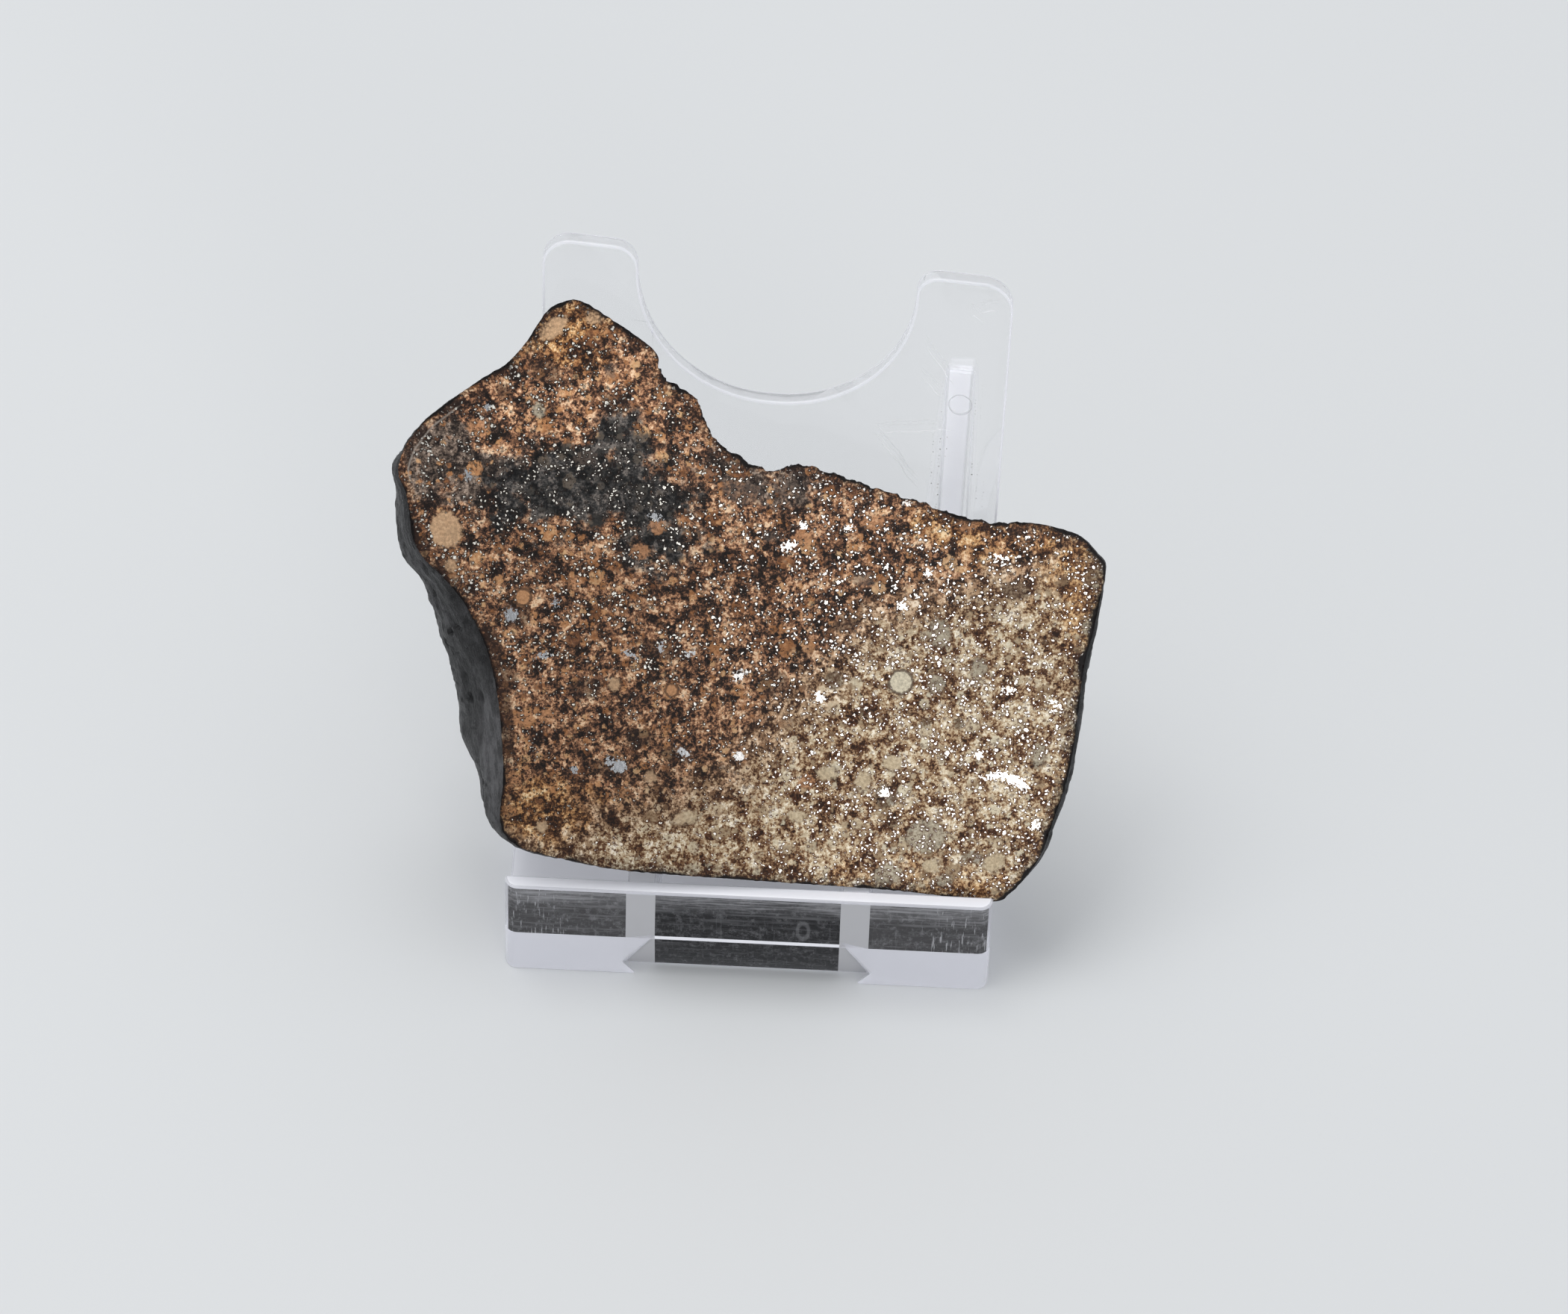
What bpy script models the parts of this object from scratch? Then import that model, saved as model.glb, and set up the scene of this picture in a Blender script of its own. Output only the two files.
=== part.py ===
"""Cut and polished chondrite meteorite leaning on a clear moulded plastic display stand.

Metres, +Z up. X runs along the stand's front lip, to the right as it is looked at, and Y runs away
from the viewer. The origin is at the middle of the bounding box, on the surface it stands on.
Two pieces: the stone and the stand. The stone rests on the two rails and leans on the back plate.
"""
import math

import bmesh
import bpy
import numpy as np
from mathutils import Matrix, Vector, noise

MM = 0.001

# Where the middle of the lip's bottom front edge lies in the part's frame
FRONT_EDGE = Vector((1.53 * MM, -22.5 * MM, 0.0))
GAP = 0.3 * MM

# Stand: ledge, lip and rails
HALF_WIDTH = 25.0 * MM
LEDGE_DEPTH = 20.4 * MM
LEDGE_HEIGHT = 4.0 * MM
LIP_HEIGHT = 11.5 * MM
LIP_THICK = 1.55 * MM
LIP_LEAN = 0.087
CORNER_RADIUS = 1.3 * MM
RAIL_X = 11.0 * MM
RAIL_WIDTH = 3.0 * MM
RAIL_HEIGHT = 11.0 * MM
NOTCH_TOP_Z = 5.1 * MM
NOTCH_TOP_HALF = 10.05 * MM
NOTCH_TIP_Z = 1.65 * MM
NOTCH_TIP_HALF = 12.84 * MM
NOTCH_REAR_HALF = 12.87 * MM
NOTCH_FOOT_HALF = 11.2 * MM
NOTCH_DEPTH = 1.57 * MM
FOOT_SPARE = 2.0 * MM

# Stand: back plate
PLATE_THICK = 1.53 * MM
PLATE_FRONT_Y = 20.5 * MM
PLATE_LEAN = 0.202
PLATE_TWIST = 1.577
PLATE_MIDDLE_X = 0.3 * MM
PLATE_HALF_FOOT = 22.6 * MM
PLATE_HALF_TOP = 23.5 * MM
PLATE_TOP_Z = 69.6 * MM
PLATE_ARC_STEPS = 8
DIP_ARC_STEPS = 36
LEFT_HORN_FALL = 0.55 * MM
LEFT_HORN_REACH = 12.0 * MM
HORN_OUTER_RADIUS = 3.0 * MM
HORN_INNER_RADIUS = 2.3 * MM
DIP_RADIUS = 13.9 * MM

# Stand: fins behind the plate
FIN_X = 19.0 * MM
FIN_WIDTH = 2.6 * MM
FIN_TOP_Z = 58.0 * MM
FIN_TOP_DEPTH = 1.1 * MM
FIN_FOOT_Y = 45.0 * MM

# Stone: the cut face is a plane that leans back and is turned a little to the right
FACE_MIDDLE = Vector((0.0, 16.872 * MM, 36.0 * MM))
FACE_TILT = math.radians(58.58)
FACE_TURN = math.radians(6.25)

# Outline of the cut face in mm, seen square on, from the peak down the left side and round
OUTLINE = [
    (-18.3, 33.4), (-20.3, 32.7), (-21.5, 31.3), (-23.0, 29.1), (-24.8, 27.2), (-26.3, 26.3),
    (-28.9, 24.7), (-32.7, 22.0), (-34.3, 20.3), (-35.5, 18.4), (-36.0, 16.3), (-35.3, 14.2),
    (-35.0, 11.9), (-34.8, 9.8), (-33.9, 7.7), (-32.1, 5.7), (-30.8, 4.1), (-29.6, 2.3),
    (-27.8, -1.8), (-26.8, -6.5), (-26.4, -11.5), (-26.4, -16.0), (-26.8, -19.5), (-26.5, -21.5),
    (-25.1, -23.0), (-23.1, -23.8), (-20.1, -24.6), (-14.0, -26.0), (-2.0, -27.4), (13.5, -29.1),
    (23.0, -30.6), (25.2, -29.8), (27.0, -27.9), (28.5, -25.6), (29.8, -21.9), (31.0, -18.3),
    (31.8, -14.4), (32.9, -6.0), (33.8, -2.5), (34.6, 1.2), (35.1, 4.3), (34.3, 5.7),
    (32.6, 7.6), (30.5, 8.5), (27.5, 9.2), (23.7, 9.3), (20.9, 10.0), (18.6, 10.7),
    (15.4, 12.0), (13.1, 12.8), (10.1, 13.9), (6.8, 15.1), (4.0, 16.0), (1.5, 15.3),
    (-0.9, 16.3), (-3.3, 17.9), (-4.7, 19.4), (-5.4, 21.2), (-5.9, 22.8), (-7.6, 24.2),
    (-9.3, 25.2), (-10.0, 27.8), (-12.1, 29.7), (-14.6, 31.5), (-16.8, 33.0),
]

# Crust walls: at an outline point, how far the wall swells out halfway back and at its heel, and
# how far back the heel is, all in mm; between these points the values run smoothly
WALLS = [
    (0, -0.5, -0.9, 2.0), (4, -0.9, -1.8, 4.2), (7, -0.9, -2.4, 6.5), (9, -0.2, -2.0, 9.0),
    (11, 1.0, -0.2, 12.0), (13, 1.2, 0.8, 13.0), (15, 1.9, 2.2, 13.6), (17, 2.8, 3.2, 14.2),
    (18, 3.5, 3.6, 15.2), (20, 3.0, 2.2, 17.0), (22, 1.4, 0.6, 17.0), (24, 0.8, 0.4, 16.0),
    (26, 0.3, 0.0, 15.5), (28, 0.2, 0.0, 15.5), (30, 0.2, -0.5, 13.0), (31, 0.3, -0.6, 10.5),
    (33, 0.6, -1.5, 8.0), (35, 0.7, -1.5, 4.2), (37, 0.6, -1.2, 2.6), (40, 0.1, -1.0, 2.0),
    (44, -0.4, -1.0, 1.8), (52, -0.5, -1.0, 2.8), (58, -0.5, -1.0, 2.8), (61, -0.5, -0.9, 2.1),
]
OUTLINE_STEPS = 168
WALL_RINGS = 9
BACK_RINGS = 8
NORMAL_PASSES = 12
BACK_PASSES = 6
REST_SOFTNESS = 0.5 * MM
HEEL_CLEARANCE = 0.8 * MM

# Past the right rail the stone hangs lower, by this much for each step sideways
REST_FALL = 0.14
REST_FALL_START = 1.0 * MM
# Crust proud of the cut face, and how deep the crust's lumps come in, in mm
CRUST_SWELL = 0.15
CRUST_EASE = 0.4
LUMP_SHARE = 0.45
LUMP_EASE = 3.0
# The back of the stone: where its middle is on the cut face, and how far it keeps off the plate
BACK_HUB = Vector((1.0 * MM, -4.0 * MM, 0.0))
BACK_DENT = 0.9


def clear_scene():
    for thing in list(bpy.data.objects):
        bpy.data.objects.remove(thing, do_unlink=True)


def new_collection(name):
    collection = bpy.data.collections.new(name)
    bpy.context.scene.collection.children.link(collection)
    return collection


def principled(name, colour, roughness, transmission=0.0, ior=1.5):
    material = bpy.data.materials.new(name)
    material.use_nodes = True
    shader = material.node_tree.nodes["Principled BSDF"]
    shader.inputs["Base Color"].default_value = (*colour, 1.0)
    shader.inputs["Roughness"].default_value = roughness
    shader.inputs["Transmission Weight"].default_value = transmission
    shader.inputs["IOR"].default_value = ior
    return material


def add_object(name, mesh, collection):
    thing = bpy.data.objects.new(name, mesh)
    collection.objects.link(thing)
    return thing


def arc(cx, cy, radius, start_deg, end_deg, steps):
    """Points of an arc, both ends included."""
    points = []
    for i in range(steps + 1):
        angle = math.radians(start_deg + (end_deg - start_deg) * i / steps)
        points.append((cx + radius * math.cos(angle), cy + radius * math.sin(angle)))
    return points


def plate_solid(name, points, thickness):
    """A flat outline in the local XY plane, made a slab about that plane by a 2D curve."""
    curve = bpy.data.curves.new(name, "CURVE")
    curve.dimensions = "2D"
    curve.fill_mode = "BOTH"
    curve.extrude = thickness / 2
    spline = curve.splines.new("POLY")
    spline.points.add(len(points) - 1)
    for point, (x, y) in zip(spline.points, points):
        point.co = (x, y, 0.0, 1.0)
    spline.use_cyclic_u = True
    holder = bpy.data.objects.new(name, curve)
    bpy.context.scene.collection.objects.link(holder)
    bpy.context.view_layer.update()
    evaluated = holder.evaluated_get(bpy.context.evaluated_depsgraph_get())
    mesh = bpy.data.meshes.new_from_object(evaluated)
    bpy.data.objects.remove(holder, do_unlink=True)
    body = bmesh.new()
    body.from_mesh(mesh)
    bmesh.ops.remove_doubles(body, verts=body.verts, dist=0.00001)
    bmesh.ops.recalc_face_normals(body, faces=body.faces)
    body.to_mesh(mesh)
    body.free()
    return mesh


def upright(mesh):
    """Turns a slab from the XY plane so that its outline's second axis runs up."""
    mesh.transform(Matrix.Rotation(math.radians(90), 4, "X"))


def base_lean(mesh):
    """Leans the front of the base like the lip and its back like the plate."""
    for vertex in mesh.vertices:
        share = vertex.co.y / LEDGE_DEPTH
        vertex.co.y += vertex.co.z * (LIP_LEAN + (PLATE_LEAN - LIP_LEAN) * share)


def plate_offset(x, z):
    """How far back the plate's front face lies behind its foot, at a place across and up it."""
    height = z - LEDGE_HEIGHT
    return PLATE_LEAN * height - PLATE_TWIST * x * height


def box_mesh(name, low, high):
    body = bmesh.new()
    bmesh.ops.create_cube(body, size=1.0)
    middle = [(a + b) / 2 for a, b in zip(low, high)]
    size = [b - a for a, b in zip(low, high)]
    bmesh.ops.scale(body, vec=size, verts=body.verts)
    bmesh.ops.translate(body, vec=middle, verts=body.verts)
    mesh = bpy.data.meshes.new(name)
    body.to_mesh(mesh)
    body.free()
    return mesh


def boolean(target, tool, operation, name):
    modifier = target.modifiers.new(name, "BOOLEAN")
    modifier.operation = operation
    modifier.solver = "EXACT"
    modifier.object = tool


# Stand


def base_outline():
    """Plan of the ledge: a rectangle with rounded corners, its front edge on Y = 0."""
    r = CORNER_RADIUS
    side = HALF_WIDTH - r
    back = LEDGE_DEPTH - r
    points = arc(side, r, r, -90, 0, 5)
    points += arc(side, back, r, 0, 90, 5)
    points += arc(-side, back, r, 90, 180, 5)
    points += arc(-side, r, r, 180, 270, 5)
    return points


def plate_outline():
    """The back plate seen from the front: two horns with a round dip between them."""
    outer = HORN_OUTER_RADIUS
    inner = HORN_INNER_RADIUS
    dip_z = PLATE_TOP_Z - inner
    steps = PLATE_ARC_STEPS
    points = arc(PLATE_HALF_TOP - outer, PLATE_TOP_Z - outer, outer, 0, 90, steps)
    points += arc(DIP_RADIUS + inner, PLATE_TOP_Z - inner, inner, 90, 180, steps)
    points += arc(0.0, dip_z, DIP_RADIUS, 0, -180, DIP_ARC_STEPS)[1:-1]
    points += arc(-DIP_RADIUS - inner, PLATE_TOP_Z - inner, inner, 0, 90, steps)
    points += arc(-PLATE_HALF_TOP + outer, PLATE_TOP_Z - outer, outer, 90, 180, steps)
    points = [(x, z - LEFT_HORN_FALL * min(1.0, max(0.0, -x / LEFT_HORN_REACH))) for x, z in points]
    return [(PLATE_HALF_FOOT, -FOOT_SPARE)] + points + [(-PLATE_HALF_FOOT, -FOOT_SPARE)]


def cut_into_strips(mesh, levels, direction):
    """Adds edge loops where planes across a direction meet the mesh, so that it can bend."""
    body = bmesh.new()
    body.from_mesh(mesh)
    for level in levels:
        geometry = body.verts[:] + body.edges[:] + body.faces[:]
        point = Vector(direction) * level
        bmesh.ops.bisect_plane(body, geom=geometry, dist=1e-6, plane_co=point, plane_no=direction)
    body.to_mesh(mesh)
    body.free()


def make_plate(collection):
    mesh = plate_solid("plate", plate_outline(), PLATE_THICK)
    upright(mesh)
    mesh.transform(Matrix.Translation((PLATE_MIDDLE_X, 0.0, 0.0)))
    cut_into_strips(mesh, np.arange(8.0, 66.0, 8.0) * MM, (0.0, 0.0, 1.0))
    cut_into_strips(mesh, np.arange(-18.0, 19.0, 6.0) * MM, (1.0, 0.0, 0.0))
    for vertex in mesh.vertices:
        offset = plate_offset(vertex.co.x, vertex.co.z)
        vertex.co.y += PLATE_FRONT_Y + PLATE_THICK / 2 + offset
    return add_object("stand_plate", mesh, collection)


def make_fin(side, collection):
    """A tall thin wedge behind the plate, its front edge buried halfway into the plate."""
    x = side * FIN_X
    middle = PLATE_FRONT_Y + PLATE_THICK / 2
    foot = middle + plate_offset(x, -FOOT_SPARE)
    top = middle + plate_offset(x, FIN_TOP_Z)
    rear = top + PLATE_THICK / 2 + FIN_TOP_DEPTH
    slope = (FIN_FOOT_Y - rear) / FIN_TOP_Z
    end = FIN_FOOT_Y + slope * FOOT_SPARE
    points = [(foot, -FOOT_SPARE), (end, -FOOT_SPARE), (rear, FIN_TOP_Z), (top, FIN_TOP_Z)]
    mesh = plate_solid("fin", points, FIN_WIDTH)
    upright(mesh)
    mesh.transform(Matrix.Rotation(math.radians(90), 4, "Z"))
    mesh.transform(Matrix.Translation((x, 0.0, 0.0)))
    return add_object("stand_fin", mesh, collection)


def bay_cutter(x_low, x_high, floor_z, collection):
    """The open space over the ledge, behind the lip, between two rails or beside one."""
    low = (x_low, LIP_THICK, floor_z)
    high = (x_high, LEDGE_DEPTH + 4.0 * MM, LIP_HEIGHT + 2.0 * MM)
    mesh = box_mesh("bay", low, high)
    base_lean(mesh)
    return add_object("bay_cutter", mesh, collection)


def floor_cutter(collection):
    """Everything below the level that the stand stands on."""
    low = (-HALF_WIDTH * 2, -HALF_WIDTH, -FOOT_SPARE * 3)
    high = (HALF_WIDTH * 2, HALF_WIDTH * 3, 0.0)
    return add_object("floor_cutter", box_mesh("floor", low, high), collection)


def half_width_plane(corners):
    """The a, b and c of the plane x = a + b y + c z through three corners."""
    rows = [(1.0, corner[1], corner[2]) for corner in corners]
    return np.linalg.solve(rows, [corner[0] for corner in corners])


def notch_cutter(collection):
    """A slanting slice off the lip's lower front, with ends that run out to a point and back in."""
    top = (NOTCH_TOP_HALF, LIP_LEAN * NOTCH_TOP_Z, NOTCH_TOP_Z)
    tip = (NOTCH_TIP_HALF, LIP_LEAN * NOTCH_TIP_Z, NOTCH_TIP_Z)
    rear = (NOTCH_REAR_HALF, NOTCH_DEPTH, 0.0)
    foot = (NOTCH_FOOT_HALF, 0.0, 0.0)
    upper = half_width_plane([top, tip, rear])
    lower = half_width_plane([tip, rear, foot])
    slope = (NOTCH_DEPTH - top[1]) / NOTCH_TOP_Z
    high = NOTCH_TOP_Z + FOOT_SPARE
    low = -FOOT_SPARE
    fold = upper - lower
    fold_z = (fold[1] * FOOT_SPARE - fold[0]) / fold[2]
    section = [
        (-FOOT_SPARE, high, upper), (top[1] - slope * FOOT_SPARE, high, upper),
        (rear[1], rear[2], lower), (NOTCH_DEPTH + slope * FOOT_SPARE, low, lower),
        (-FOOT_SPARE, low, lower), (-FOOT_SPARE, fold_z, lower),
    ]
    body = bmesh.new()
    rings = []
    for side in (-1.0, 1.0):
        ring = [body.verts.new((side * plane.dot((1.0, y, z)), y, z)) for y, z, plane in section]
        body.faces.new([ring[0], ring[1], ring[2], ring[5]])
        body.faces.new([ring[5], ring[2], ring[3], ring[4]])
        rings.append(ring)
    left, right = rings
    for i in range(len(section)):
        j = (i + 1) % len(section)
        body.faces.new([left[i], left[j], right[j], right[i]])
    bmesh.ops.recalc_face_normals(body, faces=body.faces)
    mesh = bpy.data.meshes.new("notch")
    body.to_mesh(mesh)
    body.free()
    return add_object("notch_cutter", mesh, collection)


def make_stand(parts, cutters):
    mesh = plate_solid("base", base_outline(), LIP_HEIGHT + FOOT_SPARE)
    mesh.transform(Matrix.Translation((0.0, 0.0, (LIP_HEIGHT - FOOT_SPARE) / 2)))
    base_lean(mesh)
    stand = add_object("stand", mesh, parts)
    inner = RAIL_X - RAIL_WIDTH / 2
    outer = RAIL_X + RAIL_WIDTH / 2
    edge = HALF_WIDTH + 2.0 * MM
    boolean(stand, bay_cutter(-inner, inner, LEDGE_HEIGHT, cutters), "DIFFERENCE", "middle bay")
    boolean(stand, bay_cutter(outer, edge, LEDGE_HEIGHT, cutters), "DIFFERENCE", "right bay")
    boolean(stand, bay_cutter(-edge, -outer, LEDGE_HEIGHT, cutters), "DIFFERENCE", "left bay")
    boolean(stand, bay_cutter(-edge, edge, RAIL_HEIGHT, cutters), "DIFFERENCE", "rail tops")
    boolean(stand, notch_cutter(cutters), "DIFFERENCE", "notch")
    boolean(stand, make_plate(cutters), "UNION", "plate")
    boolean(stand, make_fin(-1.0, cutters), "UNION", "left fin")
    boolean(stand, make_fin(1.0, cutters), "UNION", "right fin")
    boolean(stand, floor_cutter(cutters), "DIFFERENCE", "floor")
    plastic = principled("clear_plastic", (0.95, 0.95, 0.97), 0.03, transmission=1.0, ior=1.52)
    stand.data.materials.append(plastic)
    return stand


# Stone


def smooth_loop(points, steps):
    """A closed Catmull-Rom curve through the points, with steps even along its length."""
    points = np.array(points, float)
    count = len(points)
    fine = []
    where = []
    for i in range(count):
        p0, p1 = points[i - 1], points[i]
        p2, p3 = points[(i + 1) % count], points[(i + 2) % count]
        for k in range(12):
            t = k / 12
            a = 2 * p1 + (p2 - p0) * t
            b = (2 * p0 - 5 * p1 + 4 * p2 - p3) * t * t
            c = (3 * p1 - p0 - 3 * p2 + p3) * t ** 3
            fine.append((a + b + c) / 2)
            where.append(i + t)
    fine = np.array(fine)
    closed = np.vstack([fine, fine[:1]])
    where = np.array(where + [float(count)])
    length = np.concatenate([[0.0], np.cumsum(np.linalg.norm(np.diff(closed, axis=0), axis=1))])
    wanted = np.arange(steps) * length[-1] / steps
    u = np.interp(wanted, length, closed[:, 0])
    v = np.interp(wanted, length, closed[:, 1])
    return np.stack([u, v], axis=1), np.interp(wanted, length, where)


def wall_values(place):
    """Swell halfway back, swell at the heel and depth of the heel, at a place on the outline."""
    stations = WALLS + [(len(OUTLINE), *WALLS[0][1:])]
    for (a, *first), (b, *second) in zip(stations, stations[1:]):
        if a <= place <= b:
            t = (place - a) / (b - a)
            t = t * t * (3 - 2 * t)
            return [p + (q - p) * t for p, q in zip(first, second)]
    return list(WALLS[0][1:])


def even_out(values, passes):
    """Smooths a closed row of values, each time with its two neighbours."""
    for _ in range(passes):
        values = (np.roll(values, 1, axis=0) + 2 * values + np.roll(values, -1, axis=0)) / 4
    return values


def outward_normals(loop):
    """Directions square to the outline, smoothed so that the walls don't fold at its small steps."""
    smooth = even_out(loop, NORMAL_PASSES)
    along = np.roll(smooth, -1, axis=0) - np.roll(smooth, 1, axis=0)
    along /= np.linalg.norm(along, axis=1)[:, None]
    return np.stack([along[:, 1], -along[:, 0]], axis=1)


def face_matrix():
    turn = Matrix.Rotation(FACE_TURN, 4, "Z") @ Matrix.Rotation(FACE_TILT, 4, "X")
    return Matrix.Translation(FACE_MIDDLE) @ turn


def plate_room(point, inward):
    """Distance from a point to the plate's front face, going straight back from the cut face."""
    low, high = 0.0, 0.06
    for _ in range(30):
        middle = (low + high) / 2
        at = point + inward * middle
        if at.y < PLATE_FRONT_Y + plate_offset(at.x, at.z):
            low = middle
        else:
            high = middle
    return low


def rest_height(x):
    """The lowest that the stone may reach: the rails' tops, and lower past the right rail."""
    level = RAIL_HEIGHT + GAP
    past = max(0.0, x - RAIL_X - RAIL_WIDTH / 2 - REST_FALL_START)
    return level - REST_FALL * past


def soft_floor(value, low):
    """Keeps a value above a limit, rounding the corner where it meets the limit."""
    over = (value - low) / REST_SOFTNESS
    if over > 12.0:
        return value
    return low + REST_SOFTNESS * math.log1p(math.exp(over))


def lumps(u, v, depth, seed):
    """Shallow scallops and dents of the crust, in mm, about -1 to 1."""
    at = Vector((u * 0.11 + seed, v * 0.11, depth * 0.16))
    coarse = noise.noise(at)
    fine = noise.noise(at * 3.1 + Vector((7.0, 3.0, 1.0)))
    return 1.2 * coarse + 0.35 * fine


def stone_point(u, v, depth, matrix, up):
    """A point of the crust, slid up the face where it would pass below the rails' tops."""
    at = matrix @ Vector((u * MM, v * MM, -depth * MM))
    lifted = soft_floor(at.z, rest_height(at.x))
    at += up * ((lifted - at.z) / up.z)
    plate_y = PLATE_FRONT_Y + plate_offset(at.x, at.z)
    at.y = min(at.y, plate_y - HEEL_CLEARANCE)
    return at


def make_stone(parts):
    matrix = face_matrix()
    axes = matrix.to_3x3()
    up = axes @ Vector((0.0, 1.0, 0.0))
    inward = axes @ Vector((0.0, 0.0, -1.0))
    loop, places = smooth_loop(OUTLINE, OUTLINE_STEPS)
    normals = outward_normals(loop)
    rings = [[matrix @ Vector((u * MM, v * MM, 0.0)) for u, v in loop]]
    walls = [wall_values(place) for place in places]
    for k in range(1, WALL_RINGS + 1):
        t = (k / WALL_RINGS) ** 1.3
        ring = []
        for (u, v), (nu, nv), (swell, end, depth) in zip(loop, normals, walls):
            bulge = swell * math.sin(math.pi * t) ** 0.8 + end * t * t
            crust = CRUST_SWELL * min(1.0, depth * t / CRUST_EASE)
            rough = lumps(u, v, depth * t, 0.0) * min(1.0, depth * t / LUMP_EASE) * LUMP_SHARE
            out = bulge + crust + rough
            ring.append(stone_point(u + nu * out, v + nv * out, depth * t, matrix, up))
        rings.append(ring)
    body = bmesh.new()
    layers = [[body.verts.new(point) for point in ring] for ring in rings]
    body.faces.new(layers[0])
    inverse = matrix.inverted()
    last = np.array([(inverse @ point)[:] for point in rings[-1]])
    for k in range(1, BACK_RINGS):
        share = 1.0 - k / BACK_RINGS
        ring = []
        last = even_out(last, BACK_PASSES)
        for x, y, z in last:
            u = BACK_HUB.x + (x - BACK_HUB.x) * share
            v = BACK_HUB.y + (y - BACK_HUB.y) * share
            on_face = matrix @ Vector((u, v, 0.0))
            room = plate_room(on_face, inward) - GAP
            dent = BACK_DENT + lumps(u / MM, v / MM, 0.0, 5.0)
            full = room - max(0.0, dent) * MM
            blend = 1.0 - share ** 3.0
            depth = -z + (full + z) * blend
            ring.append(matrix @ Vector((u, v, -min(depth, room))))
        layers.append([body.verts.new(point) for point in ring])
    centre_depth = plate_room(matrix @ BACK_HUB, inward) - GAP - BACK_DENT * MM
    centre = body.verts.new(matrix @ Vector((BACK_HUB.x, BACK_HUB.y, -centre_depth)))
    count = len(loop)
    for upper, lower in zip(layers, layers[1:]):
        for i in range(count):
            j = (i + 1) % count
            body.faces.new((upper[i], lower[i], lower[j], upper[j]))
    for i in range(count):
        body.faces.new((layers[-1][i], centre, layers[-1][(i + 1) % count]))
    bmesh.ops.recalc_face_normals(body, faces=body.faces)
    mesh = bpy.data.meshes.new("meteorite")
    body.to_mesh(mesh)
    body.free()
    stone = add_object("meteorite", mesh, parts)
    stone.data.materials.append(principled("polished_chondrite", (0.22, 0.12, 0.06), 0.3))
    return stone


def main():
    clear_scene()
    parts = new_collection("meteorite_on_stand")
    cutters = new_collection("cutters")
    frame = bpy.data.objects.new("lip_frame", None)
    frame.location = FRONT_EDGE
    parts.objects.link(frame)
    make_stand(parts, cutters)
    make_stone(parts)
    for thing in list(parts.objects) + list(cutters.objects):
        if thing is not frame:
            thing.parent = frame
    for cutter in cutters.objects:
        cutter.hide_render = True
        cutter.display_type = "WIRE"
    bpy.context.view_layer.update()


main()
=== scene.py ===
"""Looks of the cut chondrite meteorite and its clear plastic display stand."""
import math
from functools import partialmethod
import bmesh
import bpy
import numpy as np
from mathutils import Matrix, Vector, noise
from mathutils.geometry import delaunay_2d_cdt
from mathutils.kdtree import KDTree


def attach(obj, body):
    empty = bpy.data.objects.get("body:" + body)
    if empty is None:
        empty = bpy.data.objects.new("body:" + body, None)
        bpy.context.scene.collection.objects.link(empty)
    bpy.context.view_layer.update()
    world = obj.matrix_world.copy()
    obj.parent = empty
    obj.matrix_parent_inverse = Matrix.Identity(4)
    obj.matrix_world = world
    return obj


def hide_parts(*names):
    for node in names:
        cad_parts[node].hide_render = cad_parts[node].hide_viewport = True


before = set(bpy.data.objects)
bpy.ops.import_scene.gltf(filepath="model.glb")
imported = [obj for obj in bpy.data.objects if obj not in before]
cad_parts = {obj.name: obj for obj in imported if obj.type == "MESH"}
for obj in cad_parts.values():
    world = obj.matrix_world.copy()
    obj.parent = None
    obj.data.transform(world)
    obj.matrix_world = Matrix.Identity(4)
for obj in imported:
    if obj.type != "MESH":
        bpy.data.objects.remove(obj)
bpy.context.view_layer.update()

MM = 0.001
SCENE = bpy.context.scene

# The middle of the lip's bottom front edge, from which the sizes below are measured
FRONT_EDGE = Vector((1.53 * MM, -22.5 * MM, 0.0))


# Node helpers


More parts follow.
